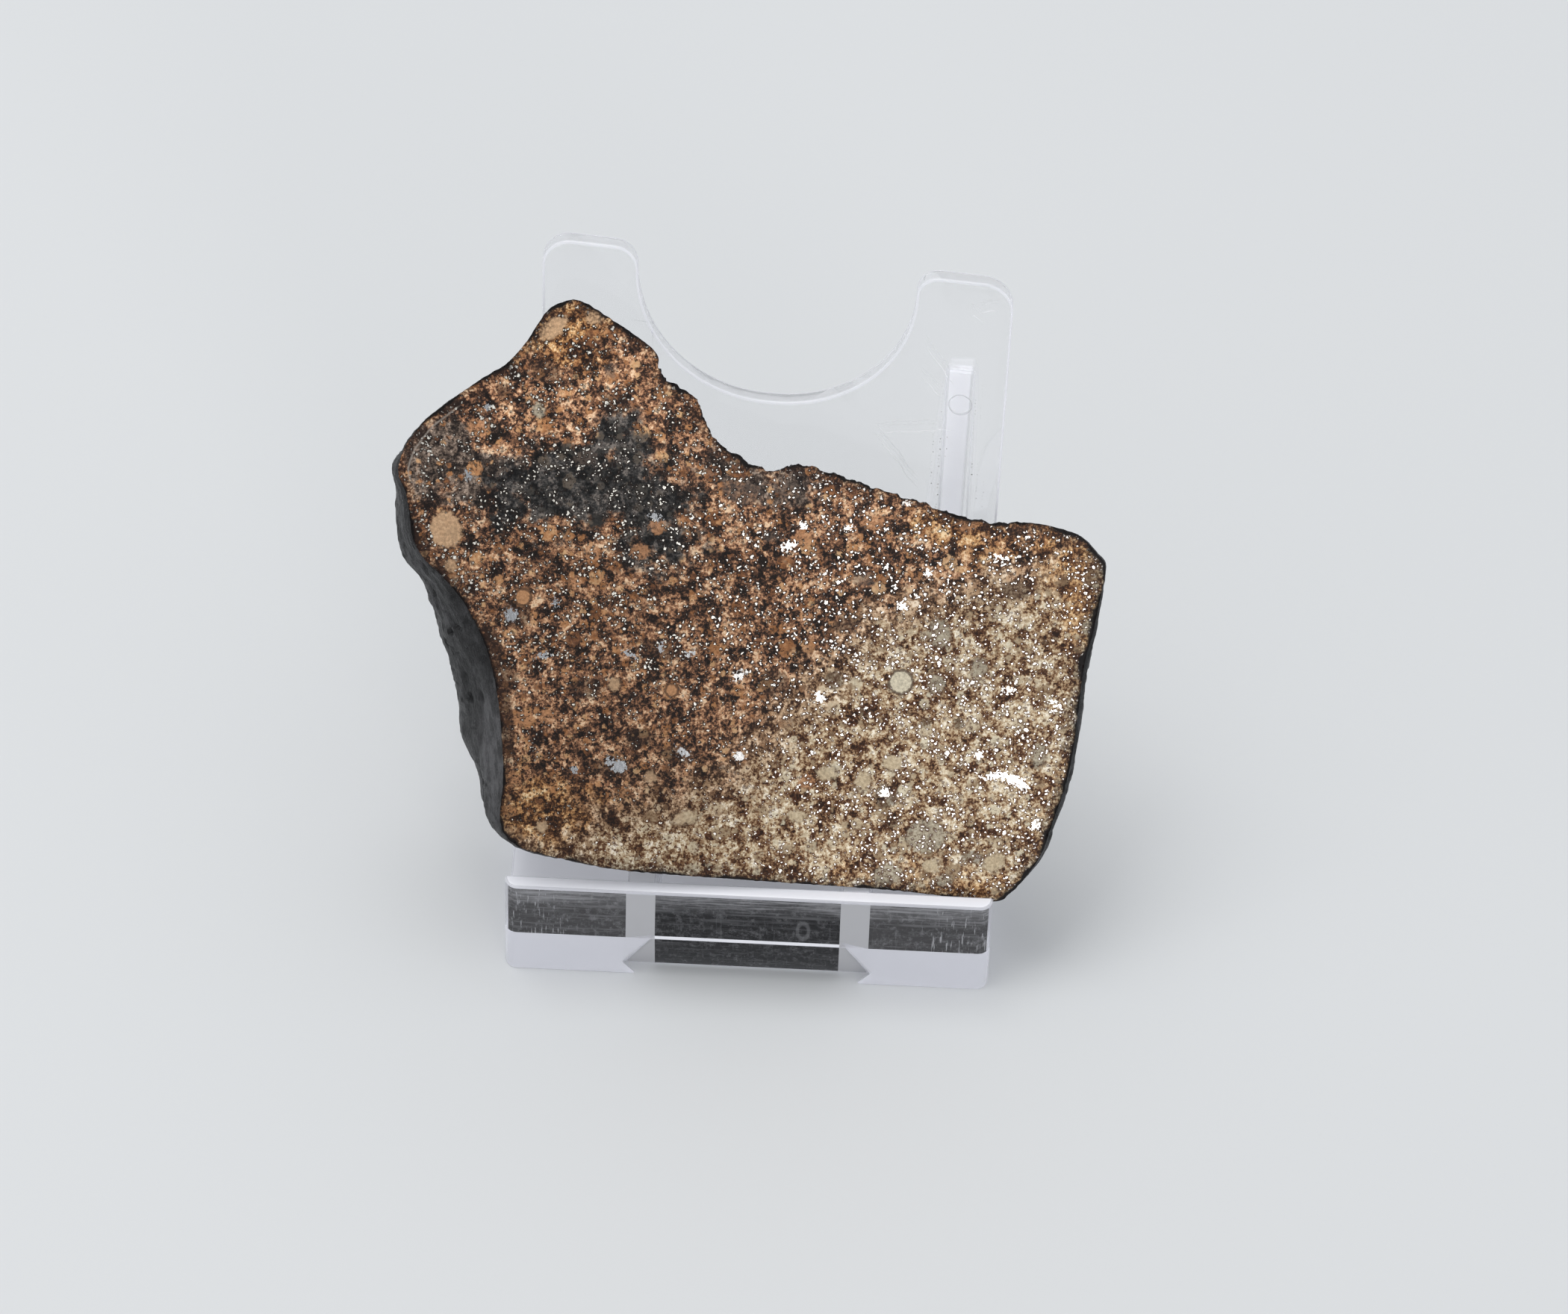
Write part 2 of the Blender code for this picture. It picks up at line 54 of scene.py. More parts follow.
class Graph:
    """Short calls for building one material's nodes."""

    def __init__(self, name):
        self.material = bpy.data.materials.new(name)
        self.material.use_nodes = True
        self.tree = self.material.node_tree

    def put(self, socket, value):
        if isinstance(value, bpy.types.NodeSocket):
            self.tree.links.new(value, socket)
        elif isinstance(value, tuple) and socket.type == "RGBA":
            socket.default_value = (*value, 1.0)
        else:
            socket.default_value = value

    def add(self, kind, inputs, output=0, **settings):
        """Adds a node, fills its inputs by name or number and gives what it puts out."""
        made = self.tree.nodes.new("ShaderNode" + kind)
        for name, value in settings.items():
            setattr(made, name, value)
        for key, value in inputs.items():
            self.put(made.inputs[key], value)
        return made.outputs[output]

    def math(self, operation, a, b=0.5):
        return self.add("Math", {0: a, 1: b}, operation=operation)

    plus = partialmethod(math, "ADD")
    minus = partialmethod(math, "SUBTRACT")
    times = partialmethod(math, "MULTIPLY")
    positive = partialmethod(math, "ABSOLUTE")

    def most(self, first, *others):
        for other in others:
            first = self.math("MAXIMUM", first, other)
        return first

    def vector(self, operation, a, b):
        return self.add("VectorMath", {0: a, 1: b}, operation=operation)

    def scaled(self, vector, scale):
        return self.add("VectorMath", {0: vector, "Scale": scale}, operation="SCALE")

    def length(self, vector):
        return self.add("VectorMath", {0: vector}, "Value", operation="LENGTH")

    def parts(self, vector):
        return self.add("SeparateXYZ", {0: vector}, slice(3))

    def channel(self, colour, name):
        return self.add("SeparateColor", {0: colour}, name)

    def mix(self, share, a, b, blend="MIX"):
        return self.add("Mix", {0: share, 6: a, 7: b}, 2, data_type="RGBA", blend_type=blend)

    def span(self, value, low, high, to_low=0.0, to_high=1.0, kind="SMOOTHSTEP"):
        values = dict(enumerate((value, low, high, to_low, to_high)))
        return self.add("MapRange", values, interpolation_type=kind)

    def ramp(self, value, stops):
        """Colours along a value: each stop is a place from 0 to 1 and a screen colour."""
        colour = self.add("ValToRGB", {0: value})
        band = colour.node.color_ramp
        while len(band.elements) < len(stops):
            band.elements.new(1.0)
        for element, (place, *screen) in zip(band.elements, stops):
            element.position = place
            element.color = (*srgb(*screen), 1.0)
        return colour

    def noise(self, vector, scale, detail, roughness, dimensions="2D", output=0):
        inputs = {"Vector": vector, "Scale": scale, "Detail": detail, "Roughness": roughness}
        return self.add("TexNoise", inputs, output, noise_dimensions=dimensions)

    def wander(self, vector, scale, detail, roughness):
        """Three values from about -0.5 to 0.5 that change along the surface."""
        three = self.noise(vector, scale, detail, roughness, output=1)
        return self.vector("SUBTRACT", three, (0.5, 0.5, 0.5))

    def cells(self, vector, scale, feature="F1"):
        """Distance from the nearest cell's middle, and the cell's own colour."""
        inputs = {"Vector": vector, "Scale": scale}
        return self.add("TexVoronoi", inputs, slice(2), feature=feature, voronoi_dimensions="2D")

    def attribute(self, name):
        return self.add("Attribute", {}, "Fac", attribute_name=name)

    def within(self, name, shift, soft):
        """1 inside a layout shape and 0 outside, its edge moved by a shift in mm."""
        return self.span(self.plus(self.attribute(name), shift), soft, -soft)

    def placed(self, vector, middle, sizes, turn=(0.0, 0.0, 0.0)):
        """The vector counted from a middle, in the given sizes along turned axes."""
        inputs = {"Vector": vector, "Location": middle, "Rotation": turn, "Scale": sizes}
        return self.add("Mapping", inputs, vector_type="TEXTURE")

    def object_place(self):
        return self.add("TexCoord", {}, "Object")

    def face_coordinates(self):
        """Place in mm on the cut face: across it, up it and out of it."""
        turn = (FACE_TILT, 0.0, FACE_TURN)
        return self.placed(self.object_place(), FRONT_EDGE + FACE_MIDDLE, (MM, MM, MM), turn)

    def patch(self, vector, u, v, half_u, half_v, turn, soft):
        """1 inside a flat ellipse and 0 outside; sizes in mm, turn in degrees."""
        turned = (0.0, 0.0, math.radians(turn))
        place = self.placed(vector, (u, v, 0.0), (half_u, half_v, 10.0), turned)
        return self.span(self.length(place), 1.0 + soft, 1.0 - soft)

    def bump(self, height, strength, distance):
        inputs = {"Strength": strength, "Distance": distance, "Height": height}
        self.finish(Normal=self.add("Bump", inputs))

    def finish(self, **values):
        """Sets the shader's inputs and gives the material."""
        shader = self.tree.nodes["Principled BSDF"]
        for name, value in values.items():
            self.put(shader.inputs[name.replace("_", " ")], value)
        return self.material


def srgb(red, green, blue):
    """Linear colour of a screen colour given as 0 to 255."""
    result = []
    for part in (red, green, blue):
        part /= 255
        result.append(part / 12.92 if part <= 0.04045 else ((part + 0.055) / 1.055) ** 2.4)
    return tuple(result)


def add_object(name, data):
    made = bpy.data.objects.new(name, data)
    SCENE.collection.objects.link(made)
    return made


def mesh_of(body, name):
    """Ends a bmesh and returns it as a mesh."""
    mesh = bpy.data.meshes.new(name)
    body.to_mesh(mesh)
    body.free()
    return mesh


# Camera and light


def make_camera():
    """The photograph's view: 46 degrees above the level, from nearly straight in front."""
    right = (0.99882, 0.04237, 0.02336)
    up = (-0.04669, 0.71816, 0.69429)
    back = (0.01264, -0.69458, 0.71930)
    place = FRONT_EDGE + Vector((10.07, -397.39, 459.73)) * MM
    data = bpy.data.cameras.new("camera")
    data.sensor_width = 36.0
    data.lens = 134.66
    data.clip_start = 0.01
    data.clip_end = 20.0
    camera = add_object("camera", data)
    turn = Matrix((right, up, back)).transposed().to_4x4()
    camera.matrix_world = Matrix.Translation(place) @ turn
    SCENE.camera = camera


def area_light(name, place, target, size, power, colour):
    data = bpy.data.lights.new(name, "AREA")
    data.shape = "RECTANGLE"
    data.size, data.size_y = size
    data.energy = power
    data.color = colour
    lamp = add_object(name, data)
    lamp.location = place
    lamp.rotation_euler = (Vector(target) - Vector(place)).to_track_quat("-Z", "Y").to_euler()


def make_light():
    world = bpy.data.worlds.new("studio")
    SCENE.world = world
    world.use_nodes = True
    back = world.node_tree.nodes["Background"]
    back.inputs["Color"].default_value = (0.94, 0.97, 1.0, 1.0)
    back.inputs["Strength"].default_value = 0.7
    middle = (0.0, 0.0, 0.03)
    area_light("overhead", (-0.25, 0.15, 0.9), middle, (0.7, 0.5), 3.2, (1.0, 0.99, 0.97))
    area_light("front", (0.34, -0.93, 0.33), middle, (0.27, 0.32), 1.3, (1.0, 0.97, 0.95))


def make_floor():
    body = bmesh.new()
    bmesh.ops.create_grid(body, x_segments=1, y_segments=1, size=3.0)
    floor = add_object("floor", mesh_of(body, "floor"))
    floor.data.materials.append(Graph("pale_floor").finish(Base_Color=(0.72, 0.73, 0.74), Roughness=0.6))


# Stone's shape


FACE_MIDDLE = Vector((0.0, 16.872 * MM, 36.0 * MM))
FACE_TILT = math.radians(58.58)
FACE_TURN = math.radians(6.25)
FACE = Matrix.Translation(FACE_MIDDLE) @ (
    Matrix.Rotation(FACE_TURN, 4, "Z") @ Matrix.Rotation(FACE_TILT, 4, "X"))
FACE_UP = FACE.to_3x3() @ Vector((0.0, 1.0, 0.0))
FACE_INWARD = FACE.to_3x3() @ Vector((0.0, 0.0, -1.0))
RAIL_TOP = 11.0 * MM
RAIL_INNER = 9.5 * MM
RAIL_OUTER = 12.5 * MM
GAP = 0.3 * MM
HEEL_CLEARANCE = 0.8 * MM
PLATE_FRONT_Y = 20.5 * MM
PLATE_LEAN = 0.202
PLATE_TWIST = 1.577
LEDGE_HEIGHT = 4.0 * MM

# Outline of the cut face in mm, seen square on, from the peak down the left side and round
OUTLINE = [
    (-18.3, 33.4), (-20.3, 32.7), (-21.5, 31.3), (-23.0, 29.1), (-24.8, 27.2), (-26.3, 26.3),
    (-28.9, 24.7), (-32.7, 22.0), (-34.3, 20.3), (-35.5, 18.4), (-36.0, 16.3), (-35.3, 14.2),
    (-35.0, 11.9), (-34.8, 9.8), (-33.9, 7.7), (-32.1, 5.7), (-30.8, 4.1), (-29.6, 2.3),
    (-27.8, -1.8), (-26.8, -6.5), (-26.4, -11.5), (-26.4, -16.0), (-26.8, -19.5), (-26.5, -21.5),
    (-25.1, -23.0), (-23.1, -23.8), (-20.1, -24.6), (-14.0, -26.0), (-2.0, -27.4), (13.5, -29.1),
    (23.0, -30.6), (25.2, -29.8), (27.0, -27.9), (28.5, -25.6), (29.8, -21.9), (31.0, -18.3),
    (31.8, -14.4), (32.9, -6.0), (33.8, -2.5), (34.6, 1.2), (35.1, 4.3), (34.3, 5.7),
    (32.6, 7.6), (30.5, 8.5), (27.5, 9.2), (23.7, 9.3), (20.9, 10.0), (18.6, 10.7),
    (15.4, 12.0), (13.1, 12.8), (10.1, 13.9), (6.8, 15.1), (4.0, 16.0), (1.5, 15.3),
    (-0.9, 16.3), (-3.3, 17.9), (-4.7, 19.4), (-5.4, 21.2), (-5.9, 22.8), (-7.6, 24.2),
    (-9.3, 25.2), (-10.0, 27.8), (-12.1, 29.7), (-14.6, 31.5), (-16.8, 33.0),
]

# Crust walls: outline point, swell halfway back, swell at the heel, depth of the heel, in mm
WALLS = [
    (0, -0.5, -0.9, 2.0), (4, -0.9, -1.8, 4.2), (7, -0.9, -2.4, 6.5), (9, -0.2, -2.0, 9.0),
    (11, 1.0, -0.2, 12.0), (13, 1.2, 0.8, 13.0), (15, 1.9, 2.2, 13.6), (17, 2.8, 3.2, 14.2),
    (18, 3.5, 3.6, 15.2), (20, 3.0, 2.2, 17.0), (22, 1.4, 0.6, 17.0), (24, 0.8, 0.4, 16.0),
    (26, 0.3, 0.0, 15.5), (28, 0.2, 0.0, 15.5), (30, 0.2, -0.5, 13.0), (31, 0.3, -0.6, 10.5),
    (33, 0.6, -1.5, 8.0), (35, 0.7, -1.5, 4.2), (37, 0.6, -1.2, 2.6), (40, 0.1, -1.0, 2.0),
    (44, -0.4, -1.0, 1.8), (52, -0.5, -1.0, 2.8), (58, -0.5, -1.0, 2.8), (61, -0.5, -0.9, 2.1),
]
# Broken stretch of the outline, between these two outline points
BROKEN = (44.0, 61.0)
CURVE_STEPS = 24
OUTLINE_STEPS = 960
WALL_RINGS = 36
BACK_RINGS = 16
NORMAL_PASSES = 390
BACK_PASSES = 100
FARTHEST_ROOM = 60.0 * MM
ROOM_HALVINGS = 22
REST_SOFTNESS = 0.5 * MM
REST_FALL = 0.14
CRUST_STEP = 0.15
PIT_LEVEL = 0.32
# Where the back comes closest to the plate, and how close, in mm besides the gap
HUB = Vector((1.0 * MM, -4.0 * MM, 0.0))
HUB_CLEARANCE = 0.9
FACE_SPACING = 0.36
ROW_SHARE = 0.866


# Layout of the cut face's colours


# What stands out on the cut face, as ellipses: middle, half width and half height in mm,
# and the turn in degrees of those that are turned
FACE_LAYOUT = {
    # Chondrules with a dark ring
    "ring": [
        (14.2, -7.0, 1.2, 1.24), (-23.9, 3.1, 0.82, 0.86), (-9.1, -7.1, 0.66, 0.7),
    ],
    # Tan, orange, grey and dull chondrules and clasts
    "tan": [
        (-31.4, 10.3, 1.55, 1.9, 10), (-14.9, -6.3, 0.62, 0.7), (-11.4, -16.1, 0.6, 0.6),
        (-20.2, 30.6, 1.6, 0.9, 40), (-22.6, -21.0, 0.6, 0.6), (-31.0, 6.6, 0.7, 0.6),
        (-16.0, 31.6, 0.9, 0.7), (-8.0, -20.6, 1.3, 0.7, 10), (13.3, -15.5, 0.95, 0.8),
        (10.2, -17.3, 0.8, 0.9), (17.1, -26.6, 0.8, 0.75), (23.6, -26.4, 1.1, 0.9, 20),
        (6.5, -16.4, 1.0, 0.7), (3.4, -20.8, 0.9, 0.6),
    ],
    "orange": [
        (-27.9, 20.7, 1.15, 0.85, -15), (-23.9, 3.1, 0.9, 1.0), (-9.1, -7.1, 0.8, 0.9),
        (11.6, 9.7, 1.3, 0.8), (4.4, 8.2, 1.1, 0.8), (-16.8, 7.4, 0.9, 0.8), (-12.0, 7.4, 1.0, 0.8),
        (-18.6, 4.4, 0.8, 0.6), (-25.8, -15.9, 1.2, 0.9), (-24.2, -9.6, 1.0, 0.8),
        (-21.8, -9.4, 0.9, 0.8), (4.4, -17.2, 0.8, 0.8), (31.0, -21.6, 0.8, 1.8, -20),
        (29.0, -27.4, 1.6, 0.9, 30), (24.6, 9.6, 1.2, 0.8), (21.0, 9.4, 1.0, 1.0),
        (-10.2, 9.9, 0.9, 0.7),
    ],
    "grey": [
        (-21.8, 22.3, 0.62, 0.85, 10), (14.2, -7.0, 1.22, 1.25), (18.2, -2.1, 1.1, 1.45, 10),
        (17.8, -7.3, 0.85, 1.0), (28.3, -15.2, 0.7, 1.2, -5), (16.6, -23.4, 2.0, 1.7),
        (12.7, -27.3, 1.5, 1.0), (18.5, -28.2, 0.8, 0.6), (22.2, -5.7, 0.8, 0.9),
    ],
    "dull": [
        (-17.2, 17.3, 1.15, 0.8), (-14.5, 26.1, 0.55, 0.9, -10), (10.6, 3.9, 1.25, 0.75, -10),
        (1.2, 8.6, 1.0, 0.6), (-1.6, 13.2, 2.2, 1.2, -15), (3.0, 13.4, 1.6, 0.9, -15),
    ],
    # Dark stains
    "clot": [
        (13.2, -21.8, 0.68, 0.75), (21.4, -25.8, 1.3, 0.7, -20), (12.6, -19.0, 1.25, 1.3),
        (16.7, -11.3, 0.7, 0.5), (20.1, -11.6, 0.55, 0.7), (-24.6, 1.4, 1.5, 1.4),
        (-15.4, -15.0, 2.0, 1.0), (-8.6, -13.9, 1.9, 0.9, -10), (-4.4, -15.4, 0.9, 0.5),
        (-10.2, -2.9, 2.2, 0.9, -25), (-26.4, -5.4, 1.8, 1.6, 20), (-17.8, -6.6, 1.8, 1.1),
        (-12.4, -12.0, 1.6, 1.0), (-14.2, 22.6, 1.5, 1.0, -25), (-21.0, 26.2, 1.6, 1.1, -20),
        (-25.3, 24.4, 0.8, 0.8), (10.6, -10.0, 0.9, 0.8), (7.4, -6.6, 1.0, 1.0),
        (1.2, -6.6, 1.6, 1.3), (8.8, -0.6, 1.5, 0.9, 20), (26.0, 2.2, 1.6, 1.0),
        (-26.7, -3.0, 0.9, 3.4, 12), (-25.9, -10.0, 0.8, 4.0, 2), (-32.4, 5.6, 1.0, 1.6, 30),
        (-33.6, 8.6, 0.8, 1.0),
    ],
    # Larger pieces of metal
    "metal": [
        (-25.1, 1.3, 0.62, 0.72, 20), (-14.6, -14.9, 0.75, 0.7), (-15.6, -14.4, 0.3, 0.5, 20),
        (-8.0, -13.7, 0.75, 0.36, -40), (-2.4, -14.3, 0.55, 0.45, -30), (-19.2, -15.1, 0.35, 0.3),
        (-20.6, 2.4, 0.25, 0.45), (-13.3, -3.2, 0.62, 0.25, -30), (-10.1, -2.6, 0.3, 0.45),
        (-7.2, -3.3, 0.5, 0.3, 10), (-2.2, -5.8, 0.7, 0.4, 25), (-22.0, -3.0, 0.6, 0.3),
        (-10.4, 11.0, 0.6, 0.35, -30), (-29.0, 15.8, 0.3, 0.55, 30), (-26.9, 22.8, 0.35, 0.3),
        (-14.6, 33.2, 0.55, 0.3, -20), (23.9, -17.2, 1.2, 0.34, 10), (25.6, -17.7, 1.2, 0.42, -15),
        (26.6, -18.3, 0.6, 0.4, -20), (29.9, -9.8, 0.7, 0.22, -40), (22.1, -15.0, 0.4, 0.4),
        (25.2, -8.2, 0.5, 0.24, -20), (4.5, 9.6, 0.4, 0.4), (3.0, 7.6, 0.75, 0.4, 15),
        (9.1, 9.2, 0.4, 0.3), (14.5, 0.9, 0.42, 0.5), (24.4, 5.7, 0.6, 0.22, -25),
        (5.9, -8.3, 0.42, 0.6, 20), (15.0, 11.6, 0.35, 0.3), (12.4, -18.6, 0.5, 0.5),
        (17.1, 4.3, 0.3, 0.5, 20), (27.9, -22.6, 0.5, 0.4, 30),
    ],
    # Large zones: the blackened patch, the greyish parts and the honey-coloured ones
    "dark": [
        (-18.2, 14.5, 8.4, 4.3, 4), (-13.3, 18.6, 2.8, 3.6), (-10.6, 12.2, 3.8, 3.6, -20),
        (-25.0, 12.4, 2.8, 2.4), (-10.4, 8.4, 3.8, 2.8),
    ],
    "ashen": [
        (-31.6, 18.0, 4.0, 4.6, 25), (-27.6, 16.2, 3.6, 2.8, 10), (0.6, 14.4, 6.4, 1.9, -17),
    ],
    "honey": [
        (-19.2, 30.0, 4.0, 3.0), (-23.0, -19.0, 5.0, 3.4), (20.0, -29.6, 14.0, 1.6, -4),
        (31.0, -21.0, 1.6, 6.5, -18), (21.0, 8.3, 4.6, 2.0, -15), (31.6, 2.6, 2.6, 6.5, 10),
    ],
}
# The pale part lies under the first line and under either of the others: slope, height
PALE_LINES = [(0.257, -3.3), (1.1, -13.3), (0.29, -16.3)]


# Stone's mesh


def ellipse_gap(table, flat):
    """How far in mm each place is outside the nearest ellipse; negative inside one."""
    best = np.full(len(flat), 9.0)
    for u, v, half_u, half_v, *turn in table:
        angle = math.radians(turn[0]) if turn else 0.0
        x = flat[:, 0] - u
        y = flat[:, 1] - v
        along = (x * math.cos(angle) + y * math.sin(angle)) / half_u
        across = (y * math.cos(angle) - x * math.sin(angle)) / half_v
        gap = (np.hypot(along, across) - 1.0) * min(half_u, half_v)
        best = np.minimum(best, gap)
    return best


def pale_gap(flat):
    """How far in mm each place is outside the pale part; negative inside."""
    gaps = []
    for slope, height in PALE_LINES:
        gaps.append((flat[:, 1] - slope * flat[:, 0] - height) / math.hypot(1.0, slope))
    return np.maximum(gaps[0], np.minimum(gaps[1], gaps[2]))


def smooth_loop(points, steps):
    """A closed Catmull-Rom curve through the points, with steps even along its length."""
    p0, p1, p2, p3 = (np.roll(points, back, axis=0)[:, None] for back in (1, 0, -1, -2))
    t = (np.arange(CURVE_STEPS) / CURVE_STEPS)[:, None]
    a = 2 * p1 + (p2 - p0) * t
    b = (2 * p0 - 5 * p1 + 4 * p2 - p3) * t * t
    c = (3 * p1 - p0 - 3 * p2 + p3) * t ** 3
    curve = ((a + b + c) / 2).reshape(-1, 2)
    curve = np.vstack([curve, curve[:1]])
    where = np.arange(len(curve)) / CURVE_STEPS
    length = np.concatenate([[0.0], np.cumsum(np.linalg.norm(np.diff(curve, axis=0), axis=1))])
    wanted = np.arange(steps) * length[-1] / steps
    u, v, places = (np.interp(wanted, length, row) for row in (*curve.T, where))
    return np.stack([u, v], axis=1), places, wanted


def wall_values(place):
    """Swell halfway back, swell at the heel and depth of the heel, at a place on the outline."""
    stations = WALLS + [(len(OUTLINE), *WALLS[0][1:])]
    for (a, *first), (b, *second) in zip(stations, stations[1:]):
        if a <= place <= b:
            t = (place - a) / (b - a)
            t = t * t * (3 - 2 * t)
            return [p + (q - p) * t for p, q in zip(first, second)]
    return list(WALLS[0][1:])


def even_out(values, passes):
    """Smooths a closed row of values, each time with its two neighbours."""
    for _ in range(passes):
        values = (np.roll(values, 1, axis=0) + 2 * values + np.roll(values, -1, axis=0)) / 4
    return values


def outward_normals(loop):
    smooth = even_out(loop, NORMAL_PASSES)
    along = np.roll(smooth, -1, axis=0) - np.roll(smooth, 1, axis=0)
    along /= np.linalg.norm(along, axis=1)[:, None]
    return np.stack([along[:, 1], -along[:, 0]], axis=1)


def plate_front(x, z):
    """Place in Y of the plate's leaning and twisted front face."""
    height = z - LEDGE_HEIGHT
    return PLATE_FRONT_Y + (PLATE_LEAN * height - PLATE_TWIST * x * height)


def plate_room(point):
    """Distance from a point to the plate's front face, going straight back from the cut face."""
    low, high = 0.0, FARTHEST_ROOM
    for _ in range(ROOM_HALVINGS):
        middle = (low + high) / 2
        at = point + FACE_INWARD * middle
        if at.y < plate_front(at.x, at.z):
            low = middle
        else:
            high = middle
    return low


def rest_height(x):
    """Lowest level of the crust: flat over the rails, falling away to the right of them."""
    past = max(0.0, x - RAIL_OUTER - 1.0 * MM)
    return RAIL_TOP + GAP - REST_FALL * past


def soft_floor(value, low):
    over = (value - low) / REST_SOFTNESS
    if over > 12.0:
        return value
    return low + REST_SOFTNESS * math.log1p(math.exp(over))


def lumps(u, v, depth, seed):
    at = Vector((u * 0.11 + seed, v * 0.11, depth * 0.16))
    coarse = noise.noise(at)
    fine = noise.noise(at * 3.1 + Vector((7.0, 3.0, 1.0)))
    return 1.2 * coarse + 0.35 * fine


def crust_detail(along, depth, u, v):
    """Fine relief of the crust in mm: long grooves, small pits and grain."""
    groove = noise.noise(Vector((along * 0.16, depth * 1.1, 2.0)))
    groove2 = noise.noise(Vector((along * 0.45, depth * 2.6, 9.0)))
    grain = noise.noise(Vector((u * 2.2, v * 2.2, depth * 2.2)))
    pit = noise.noise(Vector((u * 0.9 + 5.0, v * 0.9, depth * 0.9)))
    result = 0.20 * groove + 0.11 * groove2 + 0.05 * grain
    if pit > PIT_LEVEL:
        result -= (pit - PIT_LEVEL) * 1.1
    return result


def broken_share(place):
    """1 on the broken stretch of the outline, falling to 0 over a short way outside it."""
    low, high = BROKEN
    return min(max((place - low) / 0.6, 0.0), 1.0) * min(max((high - place) / 0.6, 0.0), 1.0)


def roughen(loop, broken, lengths, normals):
    """Small raggedness of the face's edge, strongest where the stone is broken."""
    result = []
    for (u, v), share, s, (nu, nv) in zip(loop, broken, lengths, normals):
        small = noise.noise(Vector((s * 1.7, 4.0, 0.0))) * 0.07
        jag = noise.noise(Vector((s * 0.85, 8.0, 0.0))) * 0.34
        jag += noise.noise(Vector((s * 2.3, 1.0, 0.0))) * 0.16
        out = small + jag * share
        result.append((u + nu * out, v + nv * out))
    return np.array(result)


def stone_point(u, v, depth):
    """A point of the crust, slid up the face where it would pass below the rails' tops."""
    at = FACE @ Vector((u * MM, v * MM, -depth * MM))
    lifted = soft_floor(at.z, rest_height(at.x))
    at += FACE_UP * ((lifted - at.z) / FACE_UP.z)
    at.y = min(at.y, plate_front(at.x, at.z) - HEEL_CLEARANCE)
    return at


def face_mesh(loop, spacing):
    """Triangles of the cut face, each point's distance from the edge in mm and its edge point."""
    count = len(loop)
    inner = []
    low = loop.min(axis=0)
    high = loop.max(axis=0)
    tree = KDTree(count)
    for i, (u, v) in enumerate(loop):
        tree.insert((u, v, 0.0), i)
    tree.balance()
    rows = int((high[1] - low[1]) / (spacing * ROW_SHARE)) + 1
    columns = int((high[0] - low[0]) / spacing) + 1
    ring = np.vstack([loop, loop[:1]])
    a, b = ring[:-1], ring[1:]
    for row in range(rows):
        v = low[1] + row * spacing * ROW_SHARE
        crosses = (a[:, 1] > v) != (b[:, 1] > v)
        share = (v - a[crosses, 1]) * (b[crosses, 0] - a[crosses, 0]) / (b[crosses, 1] - a[crosses, 1])
        hits = a[crosses, 0] + share
        hits.sort()
        for column in range(columns):
            u = low[0] + (column + 0.5 * (row % 2)) * spacing
            if np.searchsorted(hits, u) % 2 == 1 and tree.find((u, v, 0.0))[2] > spacing * 0.55:
                inner.append((u, v))
    points = [Vector(p) for p in loop] + [Vector(p) for p in inner]
    edges = [(i, (i + 1) % count) for i in range(count)]
    made, _, faces, origin, _, _ = delaunay_2d_cdt(points, edges, [], 1, 1e-7)
    away = [tree.find((p.x, p.y, 0.0))[2] for p in made]
    first = [o[0] if o else -1 for o in origin]
    return made, faces, away, first


def wall_rings(loop, places, broken, lengths, normals):
    """The crust wall as rings in the face's frame, from the face's edge back to the heel."""
    walls = [wall_values(place) for place in places]
    inverse = FACE.inverted()
    rings = []
    for k in range(1, WALL_RINGS + 1):
        t = (k / WALL_RINGS) ** 1.35
        ring = []
        for i in range(OUTLINE_STEPS):
            u, v = loop[i]
            nu, nv = normals[i]
            swell, end, depth = walls[i]
            deep = depth * t
            out = swell * math.sin(math.pi * t) ** 0.8 + end * t * t
            out += CRUST_STEP * min(1.0, deep / 0.4)
            out += lumps(u, v, deep, 0.0) * min(1.0, deep / 3.0) * 0.45
            out += crust_detail(lengths[i], deep, u, v) * min(1.0, deep / 0.6)
            out += noise.noise(Vector((u * 1.5, v * 1.5, deep * 1.5))) * 0.35 * broken[i]
            ring.append(stone_point(u + nu * out, v + nv * out, deep))
        rings.append(np.array([(inverse @ point)[:] for point in ring]))
    return rings


def back_rings(last):
    """The back as rings that close in on its hub, in the face's frame, and the hub's point."""
    rings = []
    for k in range(1, BACK_RINGS):
        share = 1.0 - k / BACK_RINGS
        last = even_out(last, BACK_PASSES)
        ring = []
        for x, y, z in last:
            u = HUB.x + (x - HUB.x) * share
            v = HUB.y + (y - HUB.y) * share
            room = plate_room(FACE @ Vector((u, v, 0.0))) - GAP
            dent = HUB_CLEARANCE + lumps(u / MM, v / MM, 0.0, 5.0)
            grain = noise.noise(Vector((u, v, 0.0)) * 900.0) * 0.12
            full = room - max(0.0, dent + grain) * MM
            blend = 1.0 - share ** 3.0
            depth = -z + (full + z) * blend
            ring.append((u, v, -min(depth, room)))
        rings.append(np.array(ring))
    return rings, (HUB.x, HUB.y, -(plate_room(FACE @ HUB) - GAP - HUB_CLEARANCE * MM))


def add_layout(mesh, coords, rim):
    """Distances to the layout's shapes, which the cut face's material reads."""
    flat = np.array(coords)[:, :2] / MM
    layout = {"rim": rim, "pale": pale_gap(flat)}
    for name, table in FACE_LAYOUT.items():
        layout[name] = ellipse_gap(table, flat)
    for name, values in layout.items():
        values = np.asarray(values, dtype=np.float32)
        mesh.attributes.new(name, "FLOAT", "POINT").data.foreach_set("value", values)


